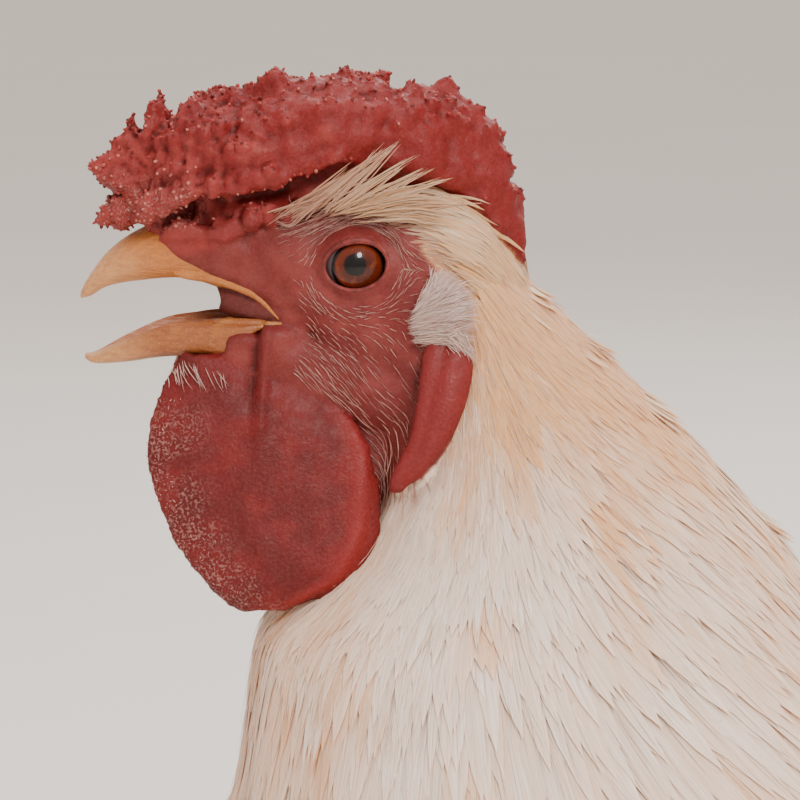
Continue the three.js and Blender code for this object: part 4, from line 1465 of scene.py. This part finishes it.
# each lock is many fine strands that end at different lengths
def addCrownLocks(count=22, rows=7):
    lines, ups, tones = [], [], []
    for way in sides.values():
        for root, tip, spread in crownLocks:
            for _ in range(count):
                start = np.array(root) + dice.normal(0, 0.8, 3) * (3.2, 0.3, 0.9)
                end = np.array(tip) + dice.normal(0, 0.5, 3) * (spread * 1.2, 0.7, spread * 0.7)
                end = mixed(start, end, dice.uniform(0.5, 1.05))
                bow = np.array([0.8, 0.9, 1.0]) * dice.uniform(0.2, 1.5)
                path = rowsAt([start, (start + end) / 2 + bow, end], np.linspace(0, 1, rows))
                lines.append(worldOf(path * (1, way, 1)))
                ups.append(np.tile((0.0, way, 0.25), (rows, 1)))
                pale = blend("#EEB27E", "#FCE0BC", dice.random())
                tones.append(mixed(pale, tint("#D28E78"), 0.65 * ease(-root[0], 0, 14)))
    lines, ups, tones = np.array(lines), np.array(ups), np.array(tones)
    patch = laidOn(bodyGuide, lines[:, 0])[2]
    half = dice.uniform(0.08, 0.24, len(lines)) * mm
    addLaid("crownLocks", hackleLook, lance, lines, ups, half, half * 0.3, tones, tones, patch)


# short bristles in rows that curve round each eye and sweep back and down over the cheek
bristle = {"gap": 0.86, "length": 3.4, "half": 0.125, "eyeRoom": 8.4}


def bristleLie(points):
    x, _, z = localOf(points).T
    slope = np.radians(np.interp(z, [-46, -30, -22, -12, -5, 2, 12], [-55, -42, -50, -30, -8, 10, 22]))
    slope -= np.radians(16) * ease(x, 4, 14) * ease(z, -30, -18)
    ring = np.hypot(x, z + 0.5)
    around = np.where(z > -1, np.arctan2(-x, np.maximum(z, 0.5)), np.arctan2(x, np.maximum(-z, 0.5)))
    near = 1 - ease(ring, 10, 16)
    around *= 1 - 0.45 * ease(z, -1, 5) * ease(-x, 0, 8)
    turn = slope * (1 - near) + np.clip(around, -1.1, 1.1) * near
    return np.stack([np.cos(turn), np.zeros(len(x)), np.sin(turn)], 1)


def bristleWanted(points):
    x, y, z = localOf(points).T
    ring = np.hypot(x / 1.1, z + 0.5)
    cheek = (x > -25) & (x < 19) & (z > -52) & (z < faceEdge(x) + 1.5) & (np.abs(y) > 5)
    cheek &= ring > bristle["eyeRoom"]
    cheek &= ~((x < -11 + dice.normal(0, 1.2, len(x))) & (z < 1) & (z > -26)) & ~((x < -17) & (z > 0))
    cheek &= ~((np.hypot((x - 7) / 9, (z + 24) / 9) < 1) & (dice.random(len(x)) < 0.72))
    for kind, room in (("comb", 0.8), ("wattle", 1.6), ("lobe", 0.8)):
        cheek &= ~nearOnes(kinds[kind], points, cheek, room * mm)
    return cheek


def addBristles():
    def gap(points):
        x, _, z = localOf(points).T
        band = np.maximum(bell(np.hypot(x, z), 10.5, 2.6), 1.5 * ease(z, 3, 7) * ease(-x, -16, -4))
        low = ease(z, -12, -20) * (1 - ease(x, -4, 6))
        return bristle["gap"] * mm * (1.75 - 0.75 * np.maximum(band, low))

    roots = strewn(skinGuide, gap, bristleWanted)
    grown = dice.uniform(0.6, 1.35, len(roots))
    z = localOf(roots)[:, 2]
    chin = ease(-z, 30, 40)
    longer = 0.8 + 0.7 * ease(z, 0, 10) + 0.3 * ease(-z, 12, 26) + 1.3 * chin
    length = bristle["length"] * mm * grown * longer
    lines, ups, patch = combedLines(skinGuide, roots, bristleLie, length, 5, sway=0.16)
    lift = dice.uniform(0.25, 0.8, len(roots)) * mm * (1 + 2.0 * chin)
    lines = raised(lines, ups, np.full(len(roots), 0.06 * mm), lift) + ups * 0.16 * mm
    wave = np.sin(np.linspace(0, 3.4, 5)[None] + dice.uniform(0, 6.3, len(roots))[:, None])
    wave = wave * dice.uniform(0, 0.3, len(roots))[:, None]
    lines += np.cross(ups, unit(np.gradient(lines, axis=1))) * (wave * np.linspace(0, 1, 5) * mm)[..., None]
    half = bristle["half"] * mm * dice.uniform(0.6, 1.35, len(roots))
    tone = blend("#C2786A", "#EBBCAA", dice.random(len(roots)) ** 1.3)
    # painted shade: each bristle darker at its root, down against the skin
    addLaid("faceBristles", hackleLook, filament, lines, ups, half, half * 0.9, tone * 0.85, tone,
            patch)


beard = {"x": (-39.5, -28), "y": (6.5, 11), "reach": (2.5, 6.5), "half": (0.10, 0.2)}


# a sparse beard of bristles hanging below the root of the lower beak
def addBeard(count=70, rows=5):
    lines, ups = [], []
    for way in sides.values():
        for _ in range(count):
            start = np.array((dice.uniform(*beard["x"]), dice.uniform(*beard["y"]), 0.0))
            start[2] = np.interp(start[0], [-40, -36, -28], [-22.4, -21.4, -24.5])
            reach = dice.uniform(*beard["reach"])
            aim = np.array((dice.normal(0.25, 0.2), dice.uniform(0.1, 0.5), -1.0))
            steps = np.linspace(0, 1, rows)[:, None]
            path = start + unit(aim) * reach * steps + np.array((0.5, 0.4, 0.0)) * reach * 0.4 * steps ** 2
            path = worldOf(path * (1, way, 1))
            near = np.array(skinTree.find_nearest(Vector(path[0]))[0])
            path = path + (near - path[0]) * (1 - steps ** 2)
            outward = [skinTree.find_nearest(Vector(point)) for point in path.tolist()]
            path = np.array([np.array(hit[0]) + np.array(hit[1]) * (0.15 + 1.2 * k / rows) * mm
                             for k, hit in enumerate(outward)])
            lines.append(path)
            ups.append([np.array(hit[1]) for hit in outward])
    lines, ups = np.array(lines), np.array(ups)
    half = dice.uniform(*beard["half"], len(lines)) * mm
    tone = blend("#E0A294", "#F4D8CC", dice.random(len(lines)))
    # painted shade: each bristle darker at its root, against the skin
    addLaid("beard", hackleLook, filament, lines, ups, half, half * 0.9, tone * 0.9, tone,
            laidOn(skinGuide, lines[:, 0])[2])


ear = {"count": 2300, "edge": [(16.5, 17, -5.4), (13, 17.4, -8.4), (11, 17.6, -12.6), (12.6, 18, -16)],
       "tips": [(17.4, 17.5, -1.4), (21.6, 18, -2.2), (25.6, 19.2, -5.6), (26.6, 20.4, -10), (25, 21, -15)],
       "tail": [(20, 19.5, -13.5), (25.6, 20.6, -20.5)]}


# the silky tuft over each ear, fanned back from its front edge
def addEarTufts(rows=6):
    for side, way in sides.items():
        count = ear["count"]
        share = dice.random(count)
        deep = dice.random(count)
        inward = dice.random(count) ** 1.3
        tips = rowsAt(ear["tips"], np.clip(share + dice.normal(0, 0.14, count), 0, 1))
        tips += dice.normal(0, 0.9, (count, 3)) * (1, 0.3, 1)
        starts = rowsAt(ear["edge"], share) + dice.normal(0, 0.5, (count, 3)) * (1, 0.2, 1)
        starts += (tips - starts) * (inward * 0.6)[:, None]
        tailed = dice.random(count) < 0.09
        starts[tailed] = np.array(ear["tail"][0]) + dice.normal(0, 1.1, (tailed.sum(), 3)) * (1, 0.3, 1)
        tips[tailed] = np.array(ear["tail"][1]) + dice.normal(0, 0.9, (tailed.sum(), 3)) * (1, 0.3, 1.4)
        reach = dice.uniform(0.45, 0.75, count)[:, None]
        ends = starts + (tips - starts) * np.clip(reach + 0.25 * dice.random(count)[:, None], 0, 1)
        steps = np.linspace(0, 1, rows)[None, :, None]
        lines = starts[:, None] + (ends - starts)[:, None] * steps
        puff = 1 - ((share - 0.5) / 0.62) ** 2
        lines[..., 1] += (0.4 + 2.6 * puff * (1 - 0.8 * deep))[:, None] * np.sin(
            np.clip(steps[..., 0] * 0.9 + 0.35 * inward[:, None] + 0.15, 0, 1) * math.pi)
        lines[..., 1] += 1.0 * inward[:, None]
        curl = dice.normal(0.5, 0.5, count)[:, None] * np.sin(steps[..., 0] * math.pi)
        lines[..., 2] += curl * 0.7
        lines = worldOf(lines * (1, way, 1))
        ups = np.tile((0.0, way, 0.1), (count, rows, 1))
        half = dice.uniform(0.09, 0.2, count) * mm
        tone = blend("#FACCBC", "#FFF0E8", dice.random(count))
        patch = laidOn(bodyGuide, lines[:, 0])[2]
        # painted shade: each filament a little darker at its root, inside the tuft
        addLaid(f"earTuft_{side}", hackleLook, filament, lines, ups, half, half * 0.6, tone * 0.95,
                tone, patch, replaced=[f"ear_tuft_{side}"])


skinGuide = guideFrom(skin)
addStrands()
addCrown()
addCrownLocks()
addBristles()
addBeard()
addEarTufts()
print("head feathers made")


# comb teeth and dry flakes

teeth = {"gap": 1.15, "height": 0.55, "radius": 0.4, "sunk": 0.5}


# small rounded papillae on the comb's edges, some dark at the tip, pale ones in front low down
def addCombTeeth():
    mesh = skin.data
    points, normals = pointsOf(mesh), normalsOf(mesh)
    x, y, z = localOf(points).T
    room = (x > -70) & (x < 45) & (z > -12) & (np.abs(y) < 30)
    near = nearOnes(kinds["comb"], points, room, 9 * mm) & ~nearOnes(kinds["face"], points, room, 1.5 * mm)
    onLip = (np.abs(z - lipLine(x, 2.2)) < 1.3) & (np.abs(y) > 11) & (x < 0)
    pale = (x < -31) & (z < 22) & (z > 1) & (np.abs(y) > 5) & (noiseOf(points, 5 * mm, 1, 4) > -0.1)
    rim = (standing > 0.26 * mm) & ((normals[:, 2] > 0.45) | (x < -46) | (x > 24) | pale)
    chosen = np.flatnonzero(near & (rim | (onLip & (dice.random(len(x)) < 0.1))))
    chosen = chosen[dice.permutation(len(chosen))]
    chosen = chosen[thinned(points[chosen], np.full(len(chosen), teeth["gap"] * mm))]
    root, out = points[chosen], normals[chosen]
    count = len(root)
    height = teeth["height"] * mm * dice.uniform(0.4, 1.5, count)
    height *= 1 - 0.4 * ease(x[chosen], 15, 25)
    aim = unit(out + dice.normal(0, 0.25, (count, 3)))
    steps = np.linspace(0, 1, 4)[None, :, None]
    sunk = teeth["sunk"] * mm
    lines = root[:, None] - out[:, None] * sunk + aim[:, None] * (height + sunk)[:, None, None] * steps
    ups = np.repeat(unit(np.cross(aim, (0.3, 0.2, 0.9)))[:, None], 4, 1)
    half = teeth["radius"] * mm * dice.uniform(0.7, 1.3, count)
    rootTone = np.tile(tint("#822B28"), (count, 1))
    dark = dice.random(count) < 0.4
    lighter = np.where(pale[chosen], dice.uniform(0.1, 0.6, count), dice.random(count) ** 5 * 0.6)
    tipTone = blend("#8E3430", "#D0A092", lighter)
    tipTone[dark & ~pale[chosen]] = tint("#421A18")
    addLaid("combTeeth", skinLook, tooth, lines, ups, half, half, rootTone, tipTone,
            laidOn(skinGuide, root)[2])


flakes = {"gap": 0.72, "length": (0.3, 1.0), "lift": (0.0, 0.5), "half": (0.07, 0.16)}


# dry skin scales at the front of the comb and down the front edge of the wattles
def addFlakes():
    def wanted(points):
        x, _, z = localOf(points).T
        patch = noiseOf(points, 6 * mm, 2, 9)
        onComb = nearOnes(kinds["comb"], points, (x < -33) & (z < 14) & (z > 3) & (patch > 0), 1.2 * mm)
        low = ease(-z, 52, 60)
        reach = 4.5 + 4.5 * low - 2.5 * dice.random(len(x))
        onWattle = nearOnes(kinds["wattle"], points, (x < wattleFront(z) + reach) & (z < -29), 1.5 * mm)
        return (onComb | onWattle) & (patch > -0.5) & (dice.random(len(x)) < 0.75 - 0.45 * low)

    roots = strewn(skinGuide, lambda p: np.full(len(p), flakes["gap"] * mm), wanted)
    count = len(roots)
    place, normal, patch = laidOn(skinGuide, roots)
    aim = along(dice.normal(0, 1, (count, 3)) + (0.3, 0, 0.6), normal)
    length = dice.uniform(*flakes["length"], count) * mm
    steps = np.linspace(0, 1, 4)[None, :, None]
    lift = dice.uniform(*flakes["lift"], count)[:, None, None]
    lines = place[:, None] + (aim[:, None] + normal[:, None] * lift * steps) * length[:, None, None] * steps
    lines += normal[:, None] * 0.02 * mm
    half = dice.uniform(*flakes["half"], count) * mm
    tone = blend("#84403A", "#C79A92", dice.random(count) ** 1.6)
    addLaid("dryFlakes", skinLook, lance, lines, np.repeat(normal[:, None], 4, 1), half, half * 0.5,
            tone * 0.85, tone, patch)


addCombTeeth()
addFlakes()
print("comb teeth made")


# body feathers

# back over the breast and the sides, drooping outwards over the saddle
def bodyLie(points):
    x, y, z = localOf(points).T
    lie = mixed(np.array([0.45, 0, -0.9]), np.array([1.0, 0, -0.12]), ease(x, -45, 45))
    saddle = ease(x, 120, 190) * ease(z, -150, -112)
    lie = mixed(lie, np.array([0.8, 0, -0.42]), saddle)
    lie[:, 1] += np.sign(y) * (0.3 * saddle + 0.1 * ease(-z, 200, 260))
    return lie


def wingLie(points):
    return np.tile((1.0, 0.0, -0.16), (len(points), 1))


def thighLie(points):
    return np.tile((0.42, 0.0, -0.9), (len(points), 1))


def anywhere(points):
    return np.ones(len(points), bool)


def bodyTone(roots, spread=0.05):
    return plumageTone(roots, dice.normal(0, spread, len(roots)))


def onSaddle(points):
    x, _, z = localOf(points).T
    return (x > 95) & (z > -150 - 0.1 * x)


bodyCoats = [
    {"name": "breastCoat", "nodes": ["trunk"], "lie": bodyLie, "gap": 7.4, "length": 36, "half": 8.4,
     "where": lambda p: ~onSaddle(p) & (localOf(p)[:, 0] < 195)},
    {"name": "ventFluff", "nodes": ["trunk"], "lie": bodyLie, "gap": 4.8, "length": 36, "half": 4.4,
     "soft": True, "where": lambda p: ~onSaddle(p) & (localOf(p)[:, 0] >= 175)},
    {"name": "wingCoverts", "nodes": bothSides("wing_bow"), "lie": wingLie, "gap": 6.6, "length": 30,
     "half": 7.6, "where": anywhere},
    {"name": "thighCoat", "nodes": bothSides("thigh"), "lie": thighLie, "gap": 5.4, "length": 21, "half": 4.6,
     "soft": True, "where": anywhere},
]


def addBodyCoat(name, nodes, lie, gap, length, half, where, soft=False):
    def spacing(points):
        small = 0.55 + 0.45 * ease(points[:, 2], hock - 0.01, hock + 0.07)
        return gap * mm * small

    roots = strewn(bodyGuide, spacing, lambda p: solidNear(p, nodes) & where(p))
    small = spacing(roots) / (gap * mm)
    lengths = length * mm * dice.uniform(0.85, 1.2, len(roots)) * small
    lines, ups, patch = combedLines(bodyGuide, roots, lie, lengths, 6, sway=0.1 if soft else 0.06)
    lift = dice.uniform(0.0, 0.9 if soft else 0.5, len(roots)) * mm
    lines = raised(lines, ups, coatDepth(roots) * 0.4, lift, 0.6)
    halves = half * mm * dice.uniform(0.85, 1.15, len(roots)) * small
    tone = bodyTone(roots)
    # painted shade: each feather darker at its root, which lies under the feathers over it, than at its tip
    addLaid(name, bodyLook, vane, lines, ups, halves, np.full(len(roots), 0.2 * mm), tone * 0.94,
            np.minimum(tone * 1.03, 0.95), patch, camber=0.07, ragged=0.14 if soft else 0.07)


saddle = {"gap": 4.2, "least": 34, "more": 34, "half": (1.6, 2.8), "lift": (0.0, 1.4)}


# long pointed feathers over the saddle, longer towards the tail
def addSaddle():
    roots = strewn(bodyGuide, lambda p: np.full(len(p), saddle["gap"] * mm),
                   lambda p: solidNear(p, ["trunk"]) & onSaddle(p))
    grown = ease(localOf(roots)[:, 0], 110, 220)
    length = (saddle["least"] + saddle["more"] * grown) * mm * dice.uniform(0.8, 1.2, len(roots))
    lines, ups, patch = combedLines(bodyGuide, roots, bodyLie, length, 7, sway=0.08)
    lines = raised(lines, ups, coatDepth(roots) * 0.5, dice.uniform(*saddle["lift"], len(roots)) * mm, 0.45)
    half = dice.uniform(*saddle["half"], len(roots)) * mm
    tone = bodyTone(roots, 0.1)
    # painted shade: each feather darker at its root, which lies under the feathers over it, than at its tip
    addLaid("saddle", hackleLook, plume, lines, ups, half, np.full(len(roots), 0.1 * mm),
            tone * 0.95, np.minimum(tone * 1.04, 0.95), patch, camber=0.1)


for settings in bodyCoats:
    addBodyCoat(**settings)
addSaddle()
print("body feathers made")


# wings and tail: each long feather on its own line, in millimetres from between the eyes

floorDrop = -eyeMid.z / mm
wing = {
    "secondaries": {"count": 5, "root": (96, 84, 296), "rootStep": (-2, 0.6, -12.6), "tip": (214, 60, 292),
                    "tipStep": (-0.5, 0.4, -11.2), "half": 9.6},
    "primaries": {"count": 3, "root": (140, 77, 250), "rootStep": (-4, 0, -6), "tip": (243, 50, 262),
                  "tipStep": (-6, -0.6, -8), "half": 7.4},
    "facing": (-0.25, 1, 0.12), "bow": (0, 5, 2),
}
tail = {"count": 4, "root": (228, 3, 308), "steepest": 64, "leanStep": 11.5, "length": 138, "half": 16}
sickles = {"count": 4, "path": [
    (0, 0, 0), (34, 3, 78), (86, 7, 126), (146, 12, 122), (188, 16, 78), (206, 18, 26)]}
coverts = {"count": 26, "length": (0.28, 0.5), "low": (196, 2, 292), "high": (238, 30, 318)}


def addBlades(name, shape, paths, halves, facing, replaced, camber, thick=0.5, ragged=0.05, shafted=True,
              rows=24):
    lines = np.array([worldOf(rowsAt(path, np.linspace(0, 1, rows))) for path in paths])
    lines[..., 2] += floorDrop * mm
    ups = np.broadcast_to(np.array(facing, float), lines.shape)
    tone = bodyTone(lines[:, rows // 2], 0.04)
    patch = laidOn(bodyGuide, lines[:, 0])[2] + np.arange(len(paths))[:, None] * 0.004
    half = np.array(halves) * mm
    # painted shade: each feather a little darker at its root, where others cover it
    addLaid(name, quillLook, shape, lines, ups, half, np.full(len(paths), thick * mm),
            tone * 0.96, tone, patch, camber=camber, ragged=ragged, replaced=replaced)
    if shafted:
        addLaid(f"{name}Shafts", hackleLook, shaft, lines[:, :-2], ups[:, :-2], half * 0.075,
                half * 0.11, tone * (0.93, 0.86, 0.76), tone, patch)


def flightPaths(fan, way):
    paths = []
    for i in range(fan["count"]):
        start = np.array(fan["root"]) + np.array(fan["rootStep"]) * i
        end = np.array(fan["tip"]) + np.array(fan["tipStep"]) * i
        paths.append([p * (1, way, 1) for p in (start, (start + end) / 2 + wing["bow"], end)])
    return paths


def tailPaths(way):
    paths = []
    for i in range(tail["count"]):
        lean = math.radians(tail["steepest"] - i * tail["leanStep"])
        length = tail["length"] - 3 * i
        start = np.array(tail["root"]) + (-i, i * 2.4, -i * 9)
        end = start + (math.cos(lean) * length, 7 - i * 0.3, math.sin(lean) * length)
        paths.append([p * (1, way, 1) for p in (start, (start + end) / 2 + (-4, 1, 4), end)])
    return paths


def sicklePath(k, way):
    size = 1 - k * 0.14
    start = np.array((228 - k * 9, 5 if k == 0 else 16 + k * 3.6, 312 - k * 5))
    return [(start + np.array(p) * (size, 0.5 + 0.3 * k, size)) * (1, way, 1) for p in sickles["path"]]


def sickleOutline(share):
    return min(1, 0.4 + 2 * share) * math.sqrt(max(0.001, 1 - share ** 2.4)) + 0.01


shaft = ribbonTemplate(22, lambda share: 1 - 0.85 * share, 4)
quill = vaneTemplate(60, 8, bladeOutline)
sickle = vaneTemplate(90, 8, sickleOutline)
covert = vaneTemplate(24, 4, sickleOutline)


def addWingsAndTail():
    for side, way in sides.items():
        facing = np.array(wing["facing"]) * (1, way, 1)
        for part in ("secondaries", "primaries"):
            fan = wing[part]
            addBlades(f"{part}_{side}", quill, flightPaths(fan, way), [fan["half"]] * fan["count"], facing,
                      [f"wing_{part}_{side}"], 0.12)
        addBlades(f"mainTail_{side}", quill, tailPaths(way), [tail["half"]] * tail["count"], (0, way, 0),
                  [f"tail_feathers_{side}"], 0.10)
        names = [f"sickle_{k + 1}_{side}" for k in range(sickles["count"])]
        addBlades(f"sickles_{side}", sickle, [sicklePath(k, way) for k in range(sickles["count"])],
                  [13.5 - k for k in range(sickles["count"])], (0, way, 0.06), names, 0.14, ragged=0.07)
        paths = []
        for _ in range(coverts["count"]):
            size = dice.uniform(*coverts["length"])
            start = np.array([dice.uniform(*ends) for ends in zip(coverts["low"], coverts["high"])])
            rise = dice.uniform(0.35, 1.0)
            paths.append([(start + np.array(p) * (size * 1.1, 0.9, size * rise)) * (1, way, 1)
                          for p in sickles["path"][:5]])
        addBlades(f"tailCoverts_{side}", covert, paths, dice.uniform(3.0, 6.0, len(paths)), (0, way, 0.3), [],
                  0.16, shafted=False)


addWingsAndTail()
print("wings and tail made")


# legs and feet

foot = {"x": 90, "y": 46, "scute": 5.4, "toeScute": 4.0, "voxel": 1.05 * mm}
toeNames = ["inner", "middle", "outer", "hind"]


def addLeg(side, way):
    names = [f"shank_{side}"] + [f"toe_{toe}_{side}" for toe in toeNames]
    low = min(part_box(name)[0].z for name in names)
    leg = remeshed(objectFrom(f"leg_{side}", nodeCopy(names, 0.3 * mm)), foot["voxel"], 8)
    mesh = leg.data
    points, normals = pointsOf(mesh), normalsOf(mesh)
    middle = np.array(fromEye(foot["x"], way * foot["y"], 0))
    away = np.linalg.norm((points - middle)[:, :2], axis=1) / mm
    high = points[:, 2] / mm
    onToe = ease(high, 22, 14) * ease(away, 10, 14)
    front = ease(-normals[:, 0], -0.1, 0.45)
    upper = ease(normals[:, 2], 0.1, 0.55)
    onShank = (high + 1.2 * (normals[:, 1] * way)) / foot["scute"]
    step = np.where(onToe > 0.5, away / foot["toeScute"], onShank) % 1
    plate = 0.75 * step - 0.9 * bell(step, 0.02, 0.09) - 0.9 * bell(step, 0.98, 0.09)
    plated = np.where(onToe > 0.5, upper, front)
    cells = np.array([noise.voronoi(Vector(p) / (2.5 * mm))[0][:2] for p in points])
    small = np.minimum((cells[:, 1] - cells[:, 0]) * 2.2, 1)
    rise = (plated * plate * 0.55 + (1 - plated) * (small - 0.6) * 0.42) * mm
    points += normals * rise[:, None]
    points[:, 2] = np.maximum(points[:, 2], low)
    setPoints(mesh, points)
    groove = np.maximum(plated * (bell(step, 0.02, 0.1) + bell(step, 0.98, 0.1)),
                        (1 - plated) * (1 - ease(small, 0.05, 0.5)))
    tone = blend("#D9AE58", "#E6C27A", ease(noiseOf(points, 9 * mm, 2), -0.3, 0.4))
    tone = mixed(tone, tint("#C99A6A"), ease(high, 16, 4) * 0.4)
    setColours(mesh, "tone", tone)
    setNumbers(mesh, "hollow", groove)
    finishPiece(leg, legLook, names)


# claws and spurs, rounded over from their solids
def addClaws(side):
    claws = [f"claw_{toe}_{side}" for toe in toeNames]
    for name, nodes, tip, root in (("claws", claws, "#8C7458", "#C9A878"),
                                   ("spurHorn", [f"spur_{side}"], "#D8C09A", "#B08A5C")):
        horn = remeshed(objectFrom(f"{name}_{side}", nodeCopy(nodes, 0.12 * mm)), 0.45 * mm, 5)
        points = pointsOf(horn.data)
        shade = ease(noiseOf(points, 4 * mm, 2), -0.4, 0.4)
        setColours(horn.data, "tone", blend(tip, root, shade))
        finishPiece(horn, hornLook, nodes)


for side, way in sides.items():
    addLeg(side, way)
    addClaws(side)
print("legs made")


# floor, light and camera

view = {"elevation": 10, "distance": 0.70, "frameWidth": 0.167, "aimBack": 9.4, "aimDown": 28.0,
        "skinOut": 17}


def addFloor():
    work = bmesh.new()
    bmesh.ops.create_grid(work, x_segments=1, y_segments=1, size=9)
    floor = objectFrom("floor", work)
    floor.data.materials.append(floorMaterial())


def addLamp(name, place, size, power, colour=(1, 1, 1)):
    data = bpy.data.lights.new(name, "AREA")
    data.shape = "DISK"
    data.size = size
    data.energy = power
    data.color = colour
    lamp = bpy.data.objects.new(name, data)
    scene.collection.objects.link(lamp)
    lamp.location = place
    lamp.rotation_euler = (Vector((-0.1, 0, 0.3)) - lamp.location).to_track_quat("-Z", "Y").to_euler()


def addCamera():
    slope = math.radians(view["elevation"])
    ahead = Vector((0, math.cos(slope), -math.sin(slope)))
    upward = Vector((0, math.sin(slope), math.cos(slope)))
    target = fromEye(view["aimBack"], -view["skinOut"], 0) - upward * view["aimDown"] * mm
    data = bpy.data.cameras.new("camera")
    data.angle = 2 * math.atan(view["frameWidth"] / 2 / view["distance"])
    camera = bpy.data.objects.new("camera", data)
    scene.collection.objects.link(camera)
    camera.location = target - ahead * view["distance"]
    camera.rotation_euler = ahead.to_track_quat("-Z", "Y").to_euler()
    scene.camera = camera


addFloor()
addLamp("keyLamp", (0.35, -1.6, 1.5), 0.6, 38, (1.0, 0.96, 0.93))
addLamp("topLamp", (-0.3, 0.1, 2.3), 1.6, 33, (1.0, 0.97, 0.94))
addLamp("backLamp", (0.6, 1.9, 1.6), 1.6, 24)
world = bpy.data.worlds.new("softRoom")
world.use_nodes = True
world.node_tree.nodes["Background"].inputs["Color"].default_value = (*tint("#DED3CC"), 1)
world.node_tree.nodes["Background"].inputs["Strength"].default_value = 1.38
scene.world = world
addCamera()
bpy.data.objects.remove(guideBody)
print("stage set")
